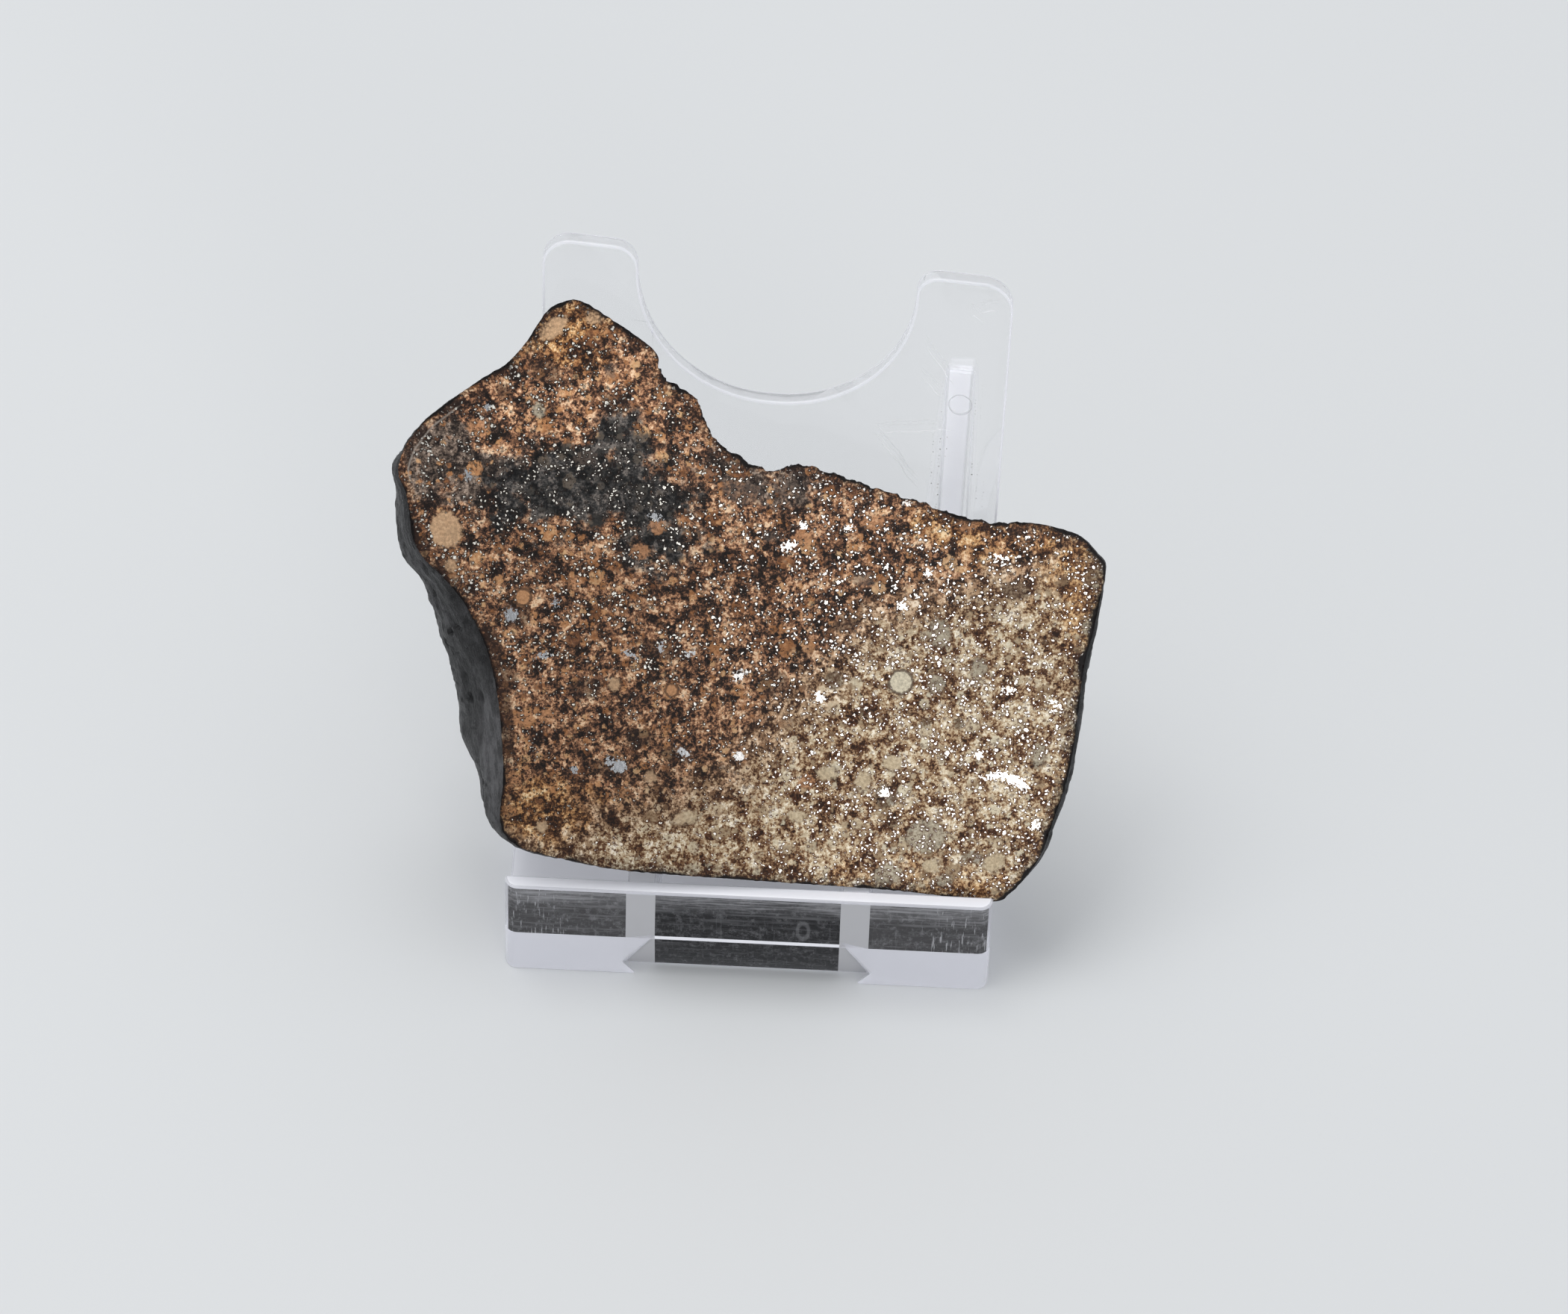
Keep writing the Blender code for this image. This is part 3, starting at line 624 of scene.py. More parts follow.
def stone_mesh():
    plain, places, lengths = smooth_loop(OUTLINE, OUTLINE_STEPS)
    normals = outward_normals(plain)
    broken = [broken_share(place) for place in places]
    loop = roughen(plain, broken, lengths, normals)
    rings = wall_rings(loop, places, broken, lengths, normals)
    back, centre = back_rings(rings[-1])
    made, faces, away, first = face_mesh(loop, FACE_SPACING)
    coords = [(p.x * MM, p.y * MM, 0.0) for p in made]
    rim_of = {start: index for index, start in enumerate(first) if 0 <= start < OUTLINE_STEPS}
    layers = [[rim_of[i] for i in range(OUTLINE_STEPS)]]
    for ring in rings + back:
        start = len(coords)
        coords.extend(map(tuple, ring))
        layers.append(list(range(start, start + OUTLINE_STEPS)))
    coords.append(centre)
    polygons = [tuple(face) for face in faces]
    kinds = [0] * len(polygons)
    for upper, lower in zip(layers, layers[1:]):
        for i in range(OUTLINE_STEPS):
            j = (i + 1) % OUTLINE_STEPS
            polygons.append((upper[i], lower[i], lower[j], upper[j]))
    for i in range(OUTLINE_STEPS):
        polygons.append((layers[-1][i], len(coords) - 1, layers[-1][(i + 1) % OUTLINE_STEPS]))
    kinds += [1] * (len(polygons) - len(kinds))
    mesh = bpy.data.meshes.new("stone")
    mesh.from_pydata(coords, [], polygons)
    mesh.transform(Matrix.Translation(FRONT_EDGE) @ FACE)
    mesh.update()
    mesh.polygons.foreach_set("material_index", kinds)
    add_layout(mesh, coords, away + [0.0] * (len(coords) - len(away)))
    mesh.shade_smooth()
    mesh.set_sharp_from_angle(angle=math.radians(50))
    return mesh


def make_stone():
    stone = add_object("stone", stone_mesh())
    stone.data.materials.append(cut_face_material())
    stone.data.materials.append(crust_material())
    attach(stone, "root")
    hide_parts("meteorite")


# Stone's materials


# Stops of colour along the grains' brightness: a place from 0 to 1 and a screen colour
RUST_TONES = (
    (0.0, 22, 16, 14), (0.26, 48, 34, 28), (0.45, 102, 71, 53),
    (0.62, 156, 111, 81), (0.8, 196, 153, 118), (1.0, 226, 194, 160),
)
PALE_TONES = (
    (0.0, 36, 20, 13), (0.2, 74, 46, 29), (0.36, 136, 103, 73),
    (0.55, 180, 157, 126), (0.78, 210, 194, 166), (1.0, 236, 226, 208),
)
HONEY_TONES = (
    (0.0, 32, 18, 11), (0.3, 92, 57, 34), (0.55, 170, 122, 74), (0.8, 212, 170, 116), (1.0, 234, 206, 164),
)
ASHEN_TONES = ((0.0, 24, 20, 19), (0.3, 54, 45, 40), (0.6, 98, 84, 74), (1.0, 160, 142, 128))
DARK_TONES = ((0.0, 10, 10, 11), (0.3, 27, 27, 27), (0.6, 56, 54, 53), (1.0, 112, 104, 98))
WARM_CHONDRULES = ((0.0, 92, 60, 42), (0.35, 150, 100, 62), (0.7, 182, 132, 90), (1.0, 204, 166, 124))
COOL_CHONDRULES = ((0.0, 128, 104, 78), (0.35, 166, 146, 118), (0.7, 188, 174, 148), (1.0, 206, 196, 172))
DIM_CHONDRULES = ((0.0, 36, 35, 34), (0.5, 58, 55, 51), (1.0, 90, 80, 70))

# Chondrules of two sizes: cells per mm, the pattern's shift, how rare, largest radius in mm
CHONDRULE_SIZES = ((0.42, 4.4, 0.55, 0.95), (1.0, 1.7, 0.35, 0.44))
# Metal grains of three sizes, in the same order
METAL_SIZES = ((0.8, 2.3, 0.86, 0.23), (1.6, 5.9, 0.76, 0.16), (2.7, 9.4, 0.66, 0.11))
# Layout name, screen colour and strength of the spots that are placed one by one
SPOT_TINTS = (
    ("clot", (44, 32, 27), 0.62),
    ("dull", (90, 78, 70), 0.6),
    ("orange", (180, 130, 93), 0.7),
    ("grey", (176, 168, 148), 0.62),
    ("tan", (192, 158, 124), 0.75),
)


def set_noises(face):
    """Patterns that several parts of the cut face's material share."""
    face.flat = face.face_coordinates()
    face.sway = face.parts(face.scaled(face.wander(face.flat, 0.4, 4.0, 0.62), 9.0))
    nudge = face.wander(face.flat, 2.4, 3.0, 0.62)
    face.fray = face.parts(nudge)
    face.grains = face.vector("ADD", face.flat, face.scaled(nudge, 0.75))
    face.mottle = face.noise(face.flat, 3.4, 3.0, 0.68)


def grain_tone(face):
    """How bright each grain is: clumps, grains of two sizes and a fine mottle."""
    clumps = face.noise(face.flat, 0.42, 3.0, 0.6)
    coarse = face.channel(face.cells(face.grains, 1.05, "SMOOTH_F1")[1], "Red")
    small = face.channel(face.cells(face.grains, 2.3, "SMOOTH_F1")[1], "Green")
    tone = 0.5
    for part, weight in ((clumps, 1.0), (coarse, 0.55), (small, 0.62), (face.mottle, 1.5)):
        tone = face.plus(face.times(face.minus(part, 0.5), weight), tone)
    return tone


def ground_colour(face, tone):
    """Rust brown or pale ground, honey-coloured, greyish and blackened in places."""
    face.pale = face.within("pale", face.sway[0], 4.2)
    face.dark = face.within("dark", face.sway[1], 1.1)
    colour = face.mix(face.pale, face.ramp(tone, RUST_TONES), face.ramp(tone, PALE_TONES))
    honey = face.times(face.within("honey", face.sway[2], 1.5), 0.75)
    colour = face.mix(honey, colour, face.ramp(tone, HONEY_TONES))
    ashen = face.within("ashen", face.sway[0], 1.2)
    colour = face.mix(ashen, colour, face.ramp(tone, ASHEN_TONES))
    return face.mix(face.dark, colour, face.ramp(tone, DARK_TONES))


def with_chondrules(face, colour):
    """Rounded chondrules strewn over the ground, each with its own tint."""
    for scale, shift, rare, largest in CHONDRULE_SIZES:
        place = face.vector("ADD", face.grains, (shift, shift * 2.0, 0.0))
        distance, tint = face.cells(place, scale)
        away = face.times(distance, 1.0 / scale)
        size = face.span(face.channel(tint, "Red"), rare, 1.0, 0.0, largest, kind="LINEAR")
        inside = face.span(face.minus(size, away), -0.06, 0.12)
        kind = face.plus(face.channel(tint, "Green"), face.fray[0])
        warm = face.ramp(kind, WARM_CHONDRULES)
        cool = face.ramp(kind, COOL_CHONDRULES)
        dim = face.ramp(kind, DIM_CHONDRULES)
        tinted = face.mix(face.dark, face.mix(face.pale, warm, cool), dim)
        colour = face.mix(face.times(inside, 0.8), colour, tinted)
    return colour


def with_spots(face, colour):
    """The spots that are placed one by one, and the rings of the ringed chondrules."""
    face.shift = face.times(face.fray[1], 0.9)
    fine = face.span(face.mottle, 0.3, 0.7, 0.72, 1.18, kind="LINEAR")
    for name, tint, share in SPOT_TINTS:
        if name in ("grey", "tan"):
            halo = face.within(name, face.plus(face.shift, -0.2), 0.12)
            colour = face.mix(face.times(halo, 0.5), colour, srgb(70, 48, 34))
        inside = face.within(name, face.shift, 0.16)
        tinted = srgb(*tint)
        if name == "tan":
            tinted = face.mix(face.pale, tinted, srgb(192, 174, 144))
        tinted = face.mix(1.0, tinted, fine, "MULTIPLY")
        colour = face.mix(face.times(inside, share), colour, tinted)
    soft_shift = face.times(face.shift, 0.4)
    face.disc = face.within("ring", soft_shift, 0.1)
    tinted = face.mix(1.0, face.mix(face.pale, srgb(178, 132, 94), srgb(208, 198, 174)), fine, "MULTIPLY")
    colour = face.mix(face.times(face.disc, 0.75), colour, tinted)
    from_ring = face.positive(face.plus(face.attribute("ring"), soft_shift))
    return face.mix(face.span(from_ring, 0.19, 0.07, 0.0, 0.75), colour, srgb(66, 48, 37))


def less_stained(face, colour):
    """Lighter at the top and on the right, where the stone is less stained."""
    face.across, up, _ = face.parts(face.flat)
    face.east = face.span(face.across, -12.0, 10.0)
    light = face.plus(face.span(up, 2.0, 24.0, 1.03, 1.5), face.times(face.east, 0.16))
    face.low = face.span(up, -3.0, -15.0)
    lower = face.times(face.low, face.minus(face.times(face.east, 0.17), 0.10))
    return face.scaled(colour, face.plus(light, lower))


def metal_grains(face, ragged, pull):
    """Small grains of metal, and the dark stain around them."""
    metals = []
    stains = []
    for scale, shift, rare, largest in METAL_SIZES:
        place = face.vector("ADD", ragged, (shift, -shift, 0.0))
        distance, tint = face.cells(place, scale)
        chance = face.plus(face.channel(tint, "Blue"), pull)
        size = face.span(chance, rare, rare + 0.3, 0.0, largest, kind="LINEAR")
        depth = face.minus(size, face.times(distance, 1.0 / scale))
        metals.append(face.span(depth, 0.0, 0.04))
        stains.append(face.times(face.span(depth, -0.26, 0.0), face.span(size, 0.0, 0.04)))
    return face.most(*metals), face.most(*stains)


def with_metal(face, colour):
    """Dark dots, then the metal in its stains, coloured grey on the left and white on the right as a painted
    reflection; also gives where the metal is.
    """
    stained = face.mix(face.pale, srgb(32, 22, 18), srgb(84, 50, 29))
    dots = face.noise(face.flat, 2.6, 4.0, 0.75)
    sound = face.minus(1.0, face.most(face.disc, face.within("tan", face.shift, 0.16)))
    fewer = face.times(face.low, face.minus(0.05, face.times(face.east, 0.05)))
    dots = face.span(face.minus(dots, fewer), 0.42, 0.34)
    colour = face.mix(face.times(dots, sound), colour, stained)
    face.crowd = face.noise(face.flat, 0.32, 2.0, 0.6)
    torn = face.wander(face.flat, 3.2, 2.0, 0.6)
    ragged = face.vector("ADD", face.flat, face.scaled(torn, 0.4))
    sparse = face.times(face.low, face.minus(0.18, face.times(face.east, 0.18)))
    pull = face.minus(face.times(face.minus(face.crowd, 0.5), 0.8), sparse)
    metal, stain = metal_grains(face, ragged, face.plus(pull, face.times(face.east, 0.05)))
    metal = face.times(metal, sound)
    large = face.within("metal", face.times(face.parts(torn)[0], 1.3), 0.03)
    colour = face.mix(face.times(stain, face.times(sound, 0.85)), colour, stained)
    # Painted reflection: the metal grains and larger pieces go from grey on the left to white on the right,
    # as they would catch the front light.
    colour = face.mix(metal, colour, face.mix(face.east, srgb(214, 211, 202), srgb(252, 248, 242)))
    colour = face.mix(large, colour, face.mix(face.east, srgb(140, 142, 145), srgb(252, 248, 242)))
    return colour, face.most(metal, large)


def with_edge(face, colour):
    """The weathered edge of the face and the pale arc inside it at the upper left."""
    edge = face.attribute("rim")
    inward = face.minus(edge, face.times(face.crowd, 1.4))
    beside = face.positive(face.minus(edge, 1.0))
    corner = face.patch(face.flat, -32.6, 19.4, 3.6, 5.0, 0, 0.15)
    arc_line = face.times(face.span(beside, 0.14, 0.03), corner)
    colour = face.mix(face.times(arc_line, 0.6), colour, srgb(176, 166, 156))
    inward = face.minus(inward, face.span(face.across, 18.0, 28.0, 0.0, 0.15))
    patchy = face.span(face.mottle, 0.62, 0.42, 0.35, 1.0)
    weathered = face.times(face.span(inward, 1.0, -0.5, 0.0, 0.8), patchy)
    colour = face.mix(weathered, colour, srgb(48, 31, 24))
    return face.mix(face.span(inward, -0.35, -0.75), colour, srgb(18, 14, 14))


def cut_face_material():
    face = Graph("cut_face")
    set_noises(face)
    tone = grain_tone(face)
    colour = ground_colour(face, tone)
    colour = with_chondrules(face, colour)
    colour = with_spots(face, colour)
    colour = less_stained(face, colour)
    colour, metal = with_metal(face, colour)
    colour = with_edge(face, colour)
    face.bump(face.minus(face.times(tone, 0.4), face.times(metal, 0.3)), 0.2, 0.08 * MM)
    return face.finish(
        Base_Color=colour, Roughness=face.minus(0.34, face.times(metal, 0.10)),
        Metallic=face.times(metal, 0.9), Specular_IOR_Level=0.1,
    )


def crust_material():
    """Charcoal crust: satin, grooved along the wall, with painted shade darkening a hollow, a painted sheen
    on a lighter band near the cut face and small painted glints.
    """
    crust = Graph("crust")
    flat = crust.face_coordinates()
    streak = crust.noise(crust.vector("MULTIPLY", flat, (1.0, 0.3, 1.0)), 0.9, 5.0, 0.78, "3D")
    cloud = crust.noise(flat, 0.22, 3.0, 0.55, "3D")
    grain = crust.noise(flat, 2.6, 4.0, 0.7, "3D")
    colour = crust.mix(crust.span(streak, 0.42, 0.6), srgb(9, 9, 10), srgb(72, 71, 73))
    colour = crust.mix(crust.span(cloud, 0.62, 0.38), colour, srgb(19, 18, 20))
    # Painted shade: the wall is darkened to near black towards a hollow in it, where shade falls.
    hollow = crust.length(crust.placed(flat, (-29.0, -5.5, -7.0), (5.0, 6.0, 4.5)))
    colour = crust.mix(crust.span(hollow, 1.15, 0.5, 0.0, 0.9), colour, srgb(8, 8, 10))
    # Painted sheen: a lighter, streaky band near the cut face stands for the satin crust catching the light.
    lip = crust.length(crust.placed(flat, (-27.0, -13.0, -1.5), (4.0, 9.0, 3.2)))
    crust_painted_sheen = crust.times(crust.span(lip, 1.1, 0.4, 0.0, 0.75), crust.span(streak, 0.4, 0.6, 0.35, 1.0))
    colour = crust.mix(crust_painted_sheen, colour, srgb(108, 107, 109))
    # Painted glints: small light specks where the grain noise is high.
    colour = crust.mix(crust.span(grain, 0.62, 0.76, 0.0, 0.7), colour, srgb(120, 119, 120))
    crust.bump(crust.plus(streak, crust.times(grain, 0.25)), 0.8, 1.4 * MM)
    rough = crust.span(cloud, 0.3, 0.7, 0.34, 0.52)
    return crust.finish(Base_Color=colour, Roughness=rough, Specular_IOR_Level=0.3)


# Stand


HALF_WIDTH = 25.0 * MM
LEDGE_DEPTH = 20.4 * MM
LIP_HEIGHT = 11.5 * MM
LIP_THICK = 1.55 * MM
LIP_LEAN = 0.087
CORNER_RADIUS = 1.3 * MM
CORNER_STEPS = 10
RAIL_EDGES = [-RAIL_OUTER, -RAIL_INNER, RAIL_INNER, RAIL_OUTER]
NOTCH_TOP_Z = 5.1 * MM
NOTCH_TOP_HALF = 10.05 * MM
NOTCH_TIP_Z = 1.65 * MM
NOTCH_TIP_HALF = 12.84 * MM
NOTCH_REAR_HALF = 12.87 * MM
NOTCH_FOOT_HALF = 11.2 * MM
NOTCH_DEPTH = 1.57 * MM
FOOT_SPARE = 2.0 * MM
PLATE_THICK = 1.53 * MM
PLATE_MIDDLE_X = 0.3 * MM
PLATE_HALF_FOOT = 22.6 * MM
PLATE_HALF_TOP = 23.5 * MM
PLATE_TOP_Z = 69.6 * MM
PLATE_ARC_STEPS = 16
DIP_ARC_STEPS = 90
LEFT_HORN_FALL = 0.55 * MM
LEFT_HORN_REACH = 12.0 * MM
HORN_OUTER_RADIUS = 3.0 * MM
HORN_INNER_RADIUS = 2.3 * MM
DIP_RADIUS = 13.9 * MM
FIN_X = 19.0 * MM
FIN_WIDTH = 2.6 * MM
FIN_TOP_Z = 58.0 * MM
FIN_TOP_DEPTH = 1.1 * MM
FIN_FOOT_Y = 45.0 * MM
EDGE_RADIUS = 0.22 * MM
# Middle across and up and radius of the mould's round mark, in mm
PIN_MARK = (19.1, 55.3, 1.1)
# The lip's front is painted pale and glowing up to the first height and has a painted bright line up to the
# second
FOOT_TOP_Z = 5.15 * MM
BRIGHT_LINE_Z = 5.55 * MM
# How near counts as on the plate, and how near the middle as the middle strip
TOUCH = 0.1 * MM
MIDDLE_HALF = 1.0 * MM

# Scratches on the plate's front: middle across and up, half length in mm, turn in degrees
SCRATCHES = [
    (14.5, 51.6, 3.65, 9.5), (12.95, 48.05, 3.4, -53.3), (16.8, 59.7, 2.3, -55.6),
    (21.4, 66.6, 0.8, 20.0), (20.4, 65.6, 0.7, -30.0), (16.2, 56.9, 1.3, -48.0),
]


def arc(cx, cy, radius, start_deg, end_deg, steps):
    points = []
    for i in range(steps + 1):
        angle = math.radians(start_deg + (end_deg - start_deg) * i / steps)
        points.append((cx + radius * math.cos(angle), cy + radius * math.sin(angle)))
    return points


def slab_mesh(name, points, thickness):
    """A flat outline in the local XY plane made a slab about that plane."""
    body = bmesh.new()
    face = body.faces.new([body.verts.new((x, y, -thickness / 2)) for x, y in points])
    made = bmesh.ops.extrude_face_region(body, geom=[face])
    moved = [item for item in made["geom"] if isinstance(item, bmesh.types.BMVert)]
    bmesh.ops.translate(body, vec=(0.0, 0.0, thickness), verts=moved)
    bmesh.ops.recalc_face_normals(body, faces=body.faces)
    return mesh_of(body, name)


def upright(mesh):
    mesh.transform(Matrix.Rotation(math.radians(90), 4, "X"))


def base_lean(mesh):
    """Leans the front of the base like the lip and its back like the plate."""
    for vertex in mesh.vertices:
        share = vertex.co.y / LEDGE_DEPTH
        vertex.co.y += vertex.co.z * (LIP_LEAN + (PLATE_LEAN - LIP_LEAN) * share)


def box_mesh(name, low, high):
    body = bmesh.new()
    bmesh.ops.create_cube(body, size=1.0)
    for vertex in body.verts:
        vertex.co = [b if c > 0 else a for a, b, c in zip(low, high, vertex.co)]
    return mesh_of(body, name)


def base_outline():
    r = CORNER_RADIUS
    side = HALF_WIDTH - r
    back = LEDGE_DEPTH - r
    points = []
    for x, y, start in ((side, r, -90), (side, back, 0), (-side, back, 90), (-side, r, 180)):
        points += arc(x, y, r, start, start + 90, CORNER_STEPS)
    return points


def plate_outline():
    outer = HORN_OUTER_RADIUS
    inner = HORN_INNER_RADIUS
    dip_z = PLATE_TOP_Z - inner
    steps = PLATE_ARC_STEPS
    points = arc(PLATE_HALF_TOP - outer, PLATE_TOP_Z - outer, outer, 0, 90, steps)
    points += arc(DIP_RADIUS + inner, dip_z, inner, 90, 180, steps)
    points += arc(0.0, dip_z, DIP_RADIUS, 0, -180, DIP_ARC_STEPS)[1:-1]
    points += arc(-DIP_RADIUS - inner, dip_z, inner, 0, 90, steps)
    points += arc(-PLATE_HALF_TOP + outer, PLATE_TOP_Z - outer, outer, 90, 180, steps)
    points = [(x, z - LEFT_HORN_FALL * min(1.0, max(0.0, -x / LEFT_HORN_REACH))) for x, z in points]
    return [(PLATE_HALF_FOOT, -FOOT_SPARE)] + points + [(-PLATE_HALF_FOOT, -FOOT_SPARE)]


def cut_into_strips(mesh, levels, direction):
    body = bmesh.new()
    body.from_mesh(mesh)
    for level in levels:
        geometry = body.verts[:] + body.edges[:] + body.faces[:]
        point = Vector(direction) * level
        bmesh.ops.bisect_plane(body, geom=geometry, dist=1e-6, plane_co=point, plane_no=direction)
    body.to_mesh(mesh)
    body.free()


def plate_tool():
    mesh = slab_mesh("plate", plate_outline(), PLATE_THICK)
    upright(mesh)
    mesh.transform(Matrix.Translation((PLATE_MIDDLE_X, 0.0, 0.0)))
    cut_into_strips(mesh, np.arange(4.0, 68.0, 4.0) * MM, (0.0, 0.0, 1.0))
    cut_into_strips(mesh, np.arange(-21.0, 22.0, 3.0) * MM, (1.0, 0.0, 0.0))
    for vertex in mesh.vertices:
        vertex.co.y += plate_front(vertex.co.x, vertex.co.z) + PLATE_THICK / 2
    return add_object(mesh.name, mesh)


def fin_tool(side):
    x = side * FIN_X
    foot = plate_front(x, -FOOT_SPARE) + PLATE_THICK / 2
    top = plate_front(x, FIN_TOP_Z) + PLATE_THICK / 2
    rear = top + PLATE_THICK / 2 + FIN_TOP_DEPTH
    slope = (FIN_FOOT_Y - rear) / FIN_TOP_Z
    end = FIN_FOOT_Y + slope * FOOT_SPARE
    points = [(foot, -FOOT_SPARE), (end, -FOOT_SPARE), (rear, FIN_TOP_Z), (top, FIN_TOP_Z)]
    mesh = slab_mesh("fin", points, FIN_WIDTH)
    upright(mesh)
    mesh.transform(Matrix.Rotation(math.radians(90), 4, "Z"))
    mesh.transform(Matrix.Translation((x, 0.0, 0.0)))
    return add_object(mesh.name, mesh)


def bay_tool(x_low, x_high, floor_z):
    low = (x_low, LIP_THICK, floor_z)
    high = (x_high, LEDGE_DEPTH + 4.0 * MM, LIP_HEIGHT + 2.0 * MM)
    mesh = box_mesh("bay", low, high)
    base_lean(mesh)
    return add_object(mesh.name, mesh)


def floor_tool():
    low = (-HALF_WIDTH * 2, -HALF_WIDTH, -FOOT_SPARE * 3)
    high = (HALF_WIDTH * 2, HALF_WIDTH * 3, 0.0)
    return add_object("below", box_mesh("below", low, high))


def half_width_plane(corners):
    """The a, b and c of the plane x = a + b y + c z through three corners."""
    rows = [(1.0, corner[1], corner[2]) for corner in corners]
    return np.linalg.solve(rows, [corner[0] for corner in corners])


def notch_tool():
    """A slanting slice off the lip's lower front, with ends that run out to a point and back in."""
    top = (NOTCH_TOP_HALF, LIP_LEAN * NOTCH_TOP_Z, NOTCH_TOP_Z)
    tip = (NOTCH_TIP_HALF, LIP_LEAN * NOTCH_TIP_Z, NOTCH_TIP_Z)
    rear = (NOTCH_REAR_HALF, NOTCH_DEPTH, 0.0)
    foot = (NOTCH_FOOT_HALF, 0.0, 0.0)
    upper = half_width_plane([top, tip, rear])
    lower = half_width_plane([tip, rear, foot])
    slope = (NOTCH_DEPTH - top[1]) / NOTCH_TOP_Z
    high = NOTCH_TOP_Z + FOOT_SPARE
    low = -FOOT_SPARE
    fold = upper - lower
    fold_z = (fold[1] * FOOT_SPARE - fold[0]) / fold[2]
    section = [
        (-FOOT_SPARE, high, upper), (top[1] - slope * FOOT_SPARE, high, upper),
        (rear[1], rear[2], lower), (NOTCH_DEPTH + slope * FOOT_SPARE, low, lower),
        (-FOOT_SPARE, low, lower), (-FOOT_SPARE, fold_z, lower),
    ]
    body = bmesh.new()
    rings = []
    for side in (-1.0, 1.0):
        ring = [body.verts.new((side * plane.dot((1.0, y, z)), y, z)) for y, z, plane in section]
        body.faces.new([ring[0], ring[1], ring[2], ring[5]])
        body.faces.new([ring[5], ring[2], ring[3], ring[4]])
        rings.append(ring)
    left, right = rings
    for i in range(len(section)):
        j = (i + 1) % len(section)
        body.faces.new([left[i], left[j], right[j], right[i]])
    bmesh.ops.recalc_face_normals(body, faces=body.faces)
    mesh = mesh_of(body, "notch")
    cut_into_strips(mesh, RAIL_EDGES[1:3], (1.0, 0.0, 0.0))
    return add_object(mesh.name, mesh)


def pin_mark_tool():
    """A shallow round mark of the mould on the plate's front, over the right fin."""
    x, z, radius = (size * MM for size in PIN_MARK)
    body = bmesh.new()
    bmesh.ops.create_cone(body, cap_ends=True, segments=40, radius1=radius, radius2=radius, depth=0.3 * MM)
    mesh = mesh_of(body, "pin_mark")
    lean = math.atan(PLATE_LEAN - PLATE_TWIST * x)
    place = Vector((x, plate_front(x, z) - 0.04 * MM, z))
    mesh.transform(Matrix.Translation(place) @ Matrix.Rotation(math.radians(90) - lean, 4, "X"))
    return add_object(mesh.name, mesh)


def modify(item, kind, **settings):
    """Gives an object a modifier and applies it."""
    modifier = item.modifiers.new(kind.lower(), kind)
    for name, value in settings.items():
        setattr(modifier, name, value)
    evaluated = item.evaluated_get(bpy.context.evaluated_depsgraph_get())
    mesh = bpy.data.meshes.new_from_object(evaluated)
    item.modifiers.clear()
    item.data = mesh


def carve(item, operation, *tools):
    """Takes tools off an object, or joins them to it, one after another."""
    for tool in tools:
        modify(item, "BOOLEAN", operation=operation, solver="EXACT", object=tool)
        bpy.data.objects.remove(tool, do_unlink=True)


def make_stand():
    mesh = slab_mesh("base", base_outline(), LIP_HEIGHT + FOOT_SPARE)
    mesh.transform(Matrix.Translation((0.0, 0.0, (LIP_HEIGHT - FOOT_SPARE) / 2)))
    base_lean(mesh)
    cut_into_strips(mesh, [FOOT_TOP_Z, BRIGHT_LINE_Z], (0.0, 0.0, 1.0))
    cut_into_strips(mesh, RAIL_EDGES, (1.0, 0.0, 0.0))
    stand = add_object("clear_stand", mesh)
    edge = HALF_WIDTH + 2.0 * MM
    bays = [
        (-RAIL_INNER, RAIL_INNER, LEDGE_HEIGHT), (RAIL_OUTER, edge, LEDGE_HEIGHT),
        (-edge, -RAIL_OUTER, LEDGE_HEIGHT), (-edge, edge, RAIL_TOP),
    ]
    carve(stand, "DIFFERENCE", *(bay_tool(*bay) for bay in bays), notch_tool())
    carve(stand, "UNION", plate_tool(), fin_tool(-1.0), fin_tool(1.0))
    carve(stand, "DIFFERENCE", floor_tool())
    body = bmesh.new()
    body.from_mesh(stand.data)
    bmesh.ops.remove_doubles(body, verts=body.verts, dist=0.05 * MM)
    bmesh.ops.dissolve_degenerate(body, edges=body.edges, dist=0.02 * MM)
    body.to_mesh(stand.data)
    body.free()
    for material in stand_materials():
        stand.data.materials.append(material)
    kinds = [face_kind(face) for face in stand.data.polygons]
    stand.data.polygons.foreach_set("material_index", kinds)
    # The bevels take the edge plastic, painted as bright lines of light along the edges.
    modify(
        stand, "BEVEL", width=EDGE_RADIUS, segments=2, limit_method="ANGLE", angle_limit=math.radians(35),
        use_clamp_overlap=False, material=EDGE_GLOW_SLOT,
    )
    carve(stand, "DIFFERENCE", pin_mark_tool())
    mesh = stand.data
    mesh.transform(Matrix.Translation(FRONT_EDGE))
    mesh.shade_smooth()
    mesh.set_sharp_from_angle(angle=math.radians(30))
    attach(stand, "root")
    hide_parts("stand")


CLEAR_SLOT, EDGE_GLOW_SLOT, FIN_GLOW_SLOT, SHADED_WINDOW_SLOT, PALE_GLOW_SLOT, RAIL_SHADE_SLOT, LINE_GLOW_SLOT, THICK_SLOT = range(8)


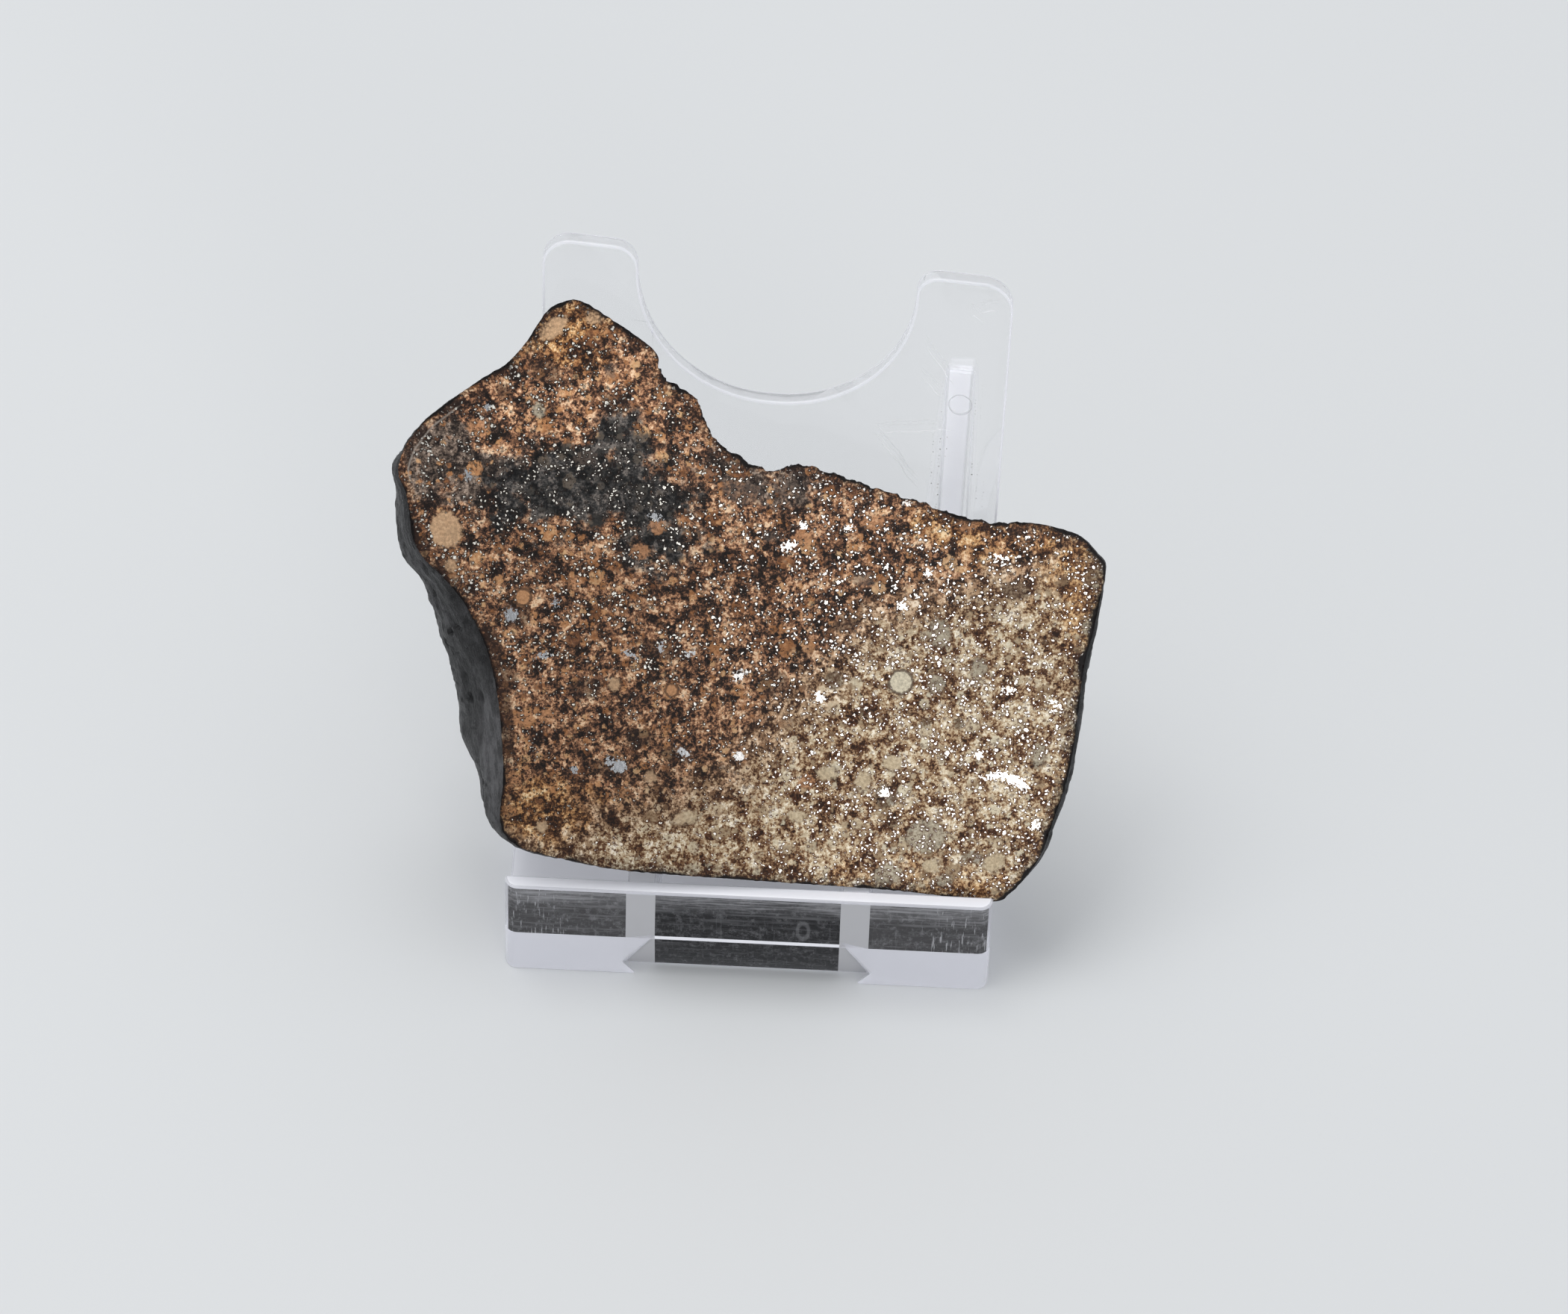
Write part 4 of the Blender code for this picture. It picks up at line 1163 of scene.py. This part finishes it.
def face_kind(face):
    """Which look of the plastic a face of the stand has: lit and shaded copies of one clear plastic, with
    painted glow on some and painted shade on others.
    """
    place = face.center
    across = abs(place.x)
    front = plate_front(place.x, place.z)
    if place.y - front - PLATE_THICK > TOUCH:
        # Painted light: the fin's broad faces get the glowing fin plastic.
        return FIN_GLOW_SLOT if abs(face.normal.x) < 0.5 else THICK_SLOT
    if place.y > front - TOUCH:
        return THICK_SLOT if abs(face.normal.y) < 0.7 else CLEAR_SLOT
    # Painted light: every upward face glows, brightening where the stone's shade falls.
    if face.normal.z > 0.7:
        return LINE_GLOW_SLOT
    # The notch's middle gets the painted dark window, its ends the painted grey shade.
    if face.normal.y < -0.7 and face.normal.z < -0.1 and across < NOTCH_TIP_HALF:
        return SHADED_WINDOW_SLOT if across < MIDDLE_HALF else RAIL_SHADE_SLOT
    # Painted light: below this height the lip's front is pale and glowing.
    if place.z < FOOT_TOP_Z:
        return PALE_GLOW_SLOT
    if face.normal.y > -0.7 or place.y > LIP_THICK:
        return THICK_SLOT
    # Painted shade: the lip in front of the rails is grey.
    if RAIL_INNER < across < RAIL_OUTER:
        return RAIL_SHADE_SLOT
    # In front of the bays the lip is painted dark, with a painted bright line low in the middle.
    return LINE_GLOW_SLOT if place.z < BRIGHT_LINE_Z and across < MIDDLE_HALF else SHADED_WINDOW_SLOT


# Stand's materials


# Painted light: a glow above 0 makes the plastic give off light though it is no lamp.
def plain_plastic(name, colour, roughness, clear, alpha, glow=0.0):
    return Graph(name).finish(
        Base_Color=colour, Roughness=roughness, IOR=1.49, Transmission_Weight=clear, Alpha=alpha,
        Emission_Color=(0.93, 0.94, 1.0), Emission_Strength=glow,
    )


def plate_plastic():
    """The plate's broad faces: dust beside the fin and a few scratches on clear plastic."""
    plate = Graph("clear_plate")
    upright_axes = (math.radians(90), 0.0, 0.0)
    place = plate.placed(plate.object_place(), FRONT_EDGE, (MM, MM, MM), upright_axes)
    place = plate.vector("MULTIPLY", place, (1.0, 1.0, 0.0))
    pin_x, pin_z, _ = PIN_MARK
    pin = plate.length(plate.placed(place, (pin_x, pin_z, 0.0), (1.15, 1.15, 1.0)))
    ring = plate.span(plate.positive(plate.minus(pin, 1.0)), 0.09, 0.02, 0.0, 0.6)
    bent = plate.vector("ADD", place, plate.scaled(plate.wander(place, 0.8, 2.0, 0.5), 0.5))
    lines = [plate.patch(bent, x, z, half_length, 0.055, turn, 0.3) for x, z, half_length, turn in SCRATCHES]
    distance, tint = plate.cells(place, 1.5)
    size = plate.span(plate.channel(tint, "Red"), 0.55, 1.0, 0.0, 0.075, kind="LINEAR")
    speck = plate.span(plate.minus(size, plate.times(distance, 1.0 / 1.5)), 0.0, 0.02)
    near_left = plate.patch(place, 17.3, 38.0, 1.3, 17.0, 0, 0.4)
    near_right = plate.patch(place, 21.0, 38.0, 1.1, 17.0, 0, 0.4)
    speck = plate.times(speck, plate.most(near_left, near_right))
    colour = plate.mix(ring, (0.985, 0.985, 1.0), srgb(150, 150, 156))
    colour = plate.mix(speck, colour, srgb(70, 58, 48))
    mark = plate.most(plate.times(plate.most(*lines), 0.8), plate.most(speck, ring))
    return plate.finish(
        Base_Color=colour, Roughness=0.03, IOR=1.49, Transmission_Weight=plate.minus(1.0, mark),
        Alpha=plate.plus(0.4, plate.times(mark, 0.6)),
    )


def shaded_window_plastic():
    """The lip and the hollows behind it, painted dark as the shade under the stone and the stone's dark
    underside reflected in them; dusty, with upright scratches.
    """
    lip = Graph("lip_painted_shade")
    place = lip.scaled(lip.object_place(), 1000.0)
    dust = lip.noise(place, 1.3, 5.0, 0.8, "3D")
    level = lip.noise(lip.vector("MULTIPLY", place, (0.10, 1.0, 2.2)), 1.3, 4.0, 0.75, "3D")
    stroke = lip.noise(lip.vector("MULTIPLY", place, (3.2, 1.0, 0.3)), 1.2, 3.0, 0.75, "3D")
    across, _, up = lip.parts(place)
    away = lip.positive(lip.minus(across, 1.5))
    side = lip.span(away, 9.6, 9.9)
    sheen = lip.span(up, 8.4, 10.8, 0.0, 0.55)
    # Real dust, and painted reflection in long streaks across the lip.
    mark = lip.most(lip.span(dust, 0.46, 0.70), lip.span(level, 0.50, 0.68, 0.0, 0.7))
    scored = lip.times(lip.span(stroke, 0.58, 0.66), lip.span(away, 17.0, 20.0, 0.1, 1.0))
    # Painted shade and reflection: nearly black in the middle of the lip, less dark towards its ends.
    base = lip.mix(side, srgb(24, 24, 26), srgb(62, 61, 62))
    strength = lip.times(mark, lip.plus(0.42, lip.times(side, 0.25)))
    colour = lip.mix(strength, base, srgb(128, 128, 131))
    drop = lip.length(lip.placed(place, (7.25, -21.9, 7.2), (0.72, 2.5, 1.35)))
    from_drop = lip.positive(lip.minus(drop, 0.8))
    colour = lip.mix(lip.span(from_drop, 0.36, 0.1, 0.0, 0.28), colour, srgb(140, 140, 143))
    # Painted sheen: pale streaks near the top of the lip.
    lip_painted_glare = lip.times(sheen, lip.span(level, 0.40, 0.62, 0.25, 1.0))
    colour = lip.mix(lip.most(lip_painted_glare, lip.times(scored, 0.8)), colour, srgb(176, 176, 180))
    return lip.finish(Base_Color=colour, Roughness=0.2, IOR=1.49, Specular_IOR_Level=0.2, Alpha=0.97)


def stand_materials():
    """In the order of the slots."""
    return (
        plate_plastic(),
        # Painted highlight: the bevelled edges are whitish and glow faintly.
        plain_plastic("plate_edge_glow", (0.90, 0.90, 0.97), 0.25, 0.2, 0.5, 0.10),
        # Painted light: the fin is whitish and glows.
        plain_plastic("fin_glow", (0.93, 0.93, 0.98), 0.12, 0.4, 0.8, 0.36),
        shaded_window_plastic(),
        # Painted light: the lip's foot is pale lavender and glows.
        plain_plastic("pale_glow", (0.88, 0.88, 0.95), 0.15, 0.45, 0.7, 0.14),
        # Painted shade: the rails seen through the lip and the notch's ends are grey.
        plain_plastic("rail_shade", srgb(184, 184, 187), 0.3, 0.1, 0.9, 0.02),
        # Painted light: a bright glowing line low on the lip and on the upward faces.
        plain_plastic("painted_bright_line", (0.92, 0.92, 0.97), 0.2, 0.2, 0.9, 0.16),
        plain_plastic("plate_thickness", (0.90, 0.90, 0.97), 0.2, 0.6, 0.3),
    )


make_camera()
make_light()
make_floor()
make_stone()
make_stand()
SCENE.view_settings.view_transform = "Standard"
SCENE.view_settings.look = "None"
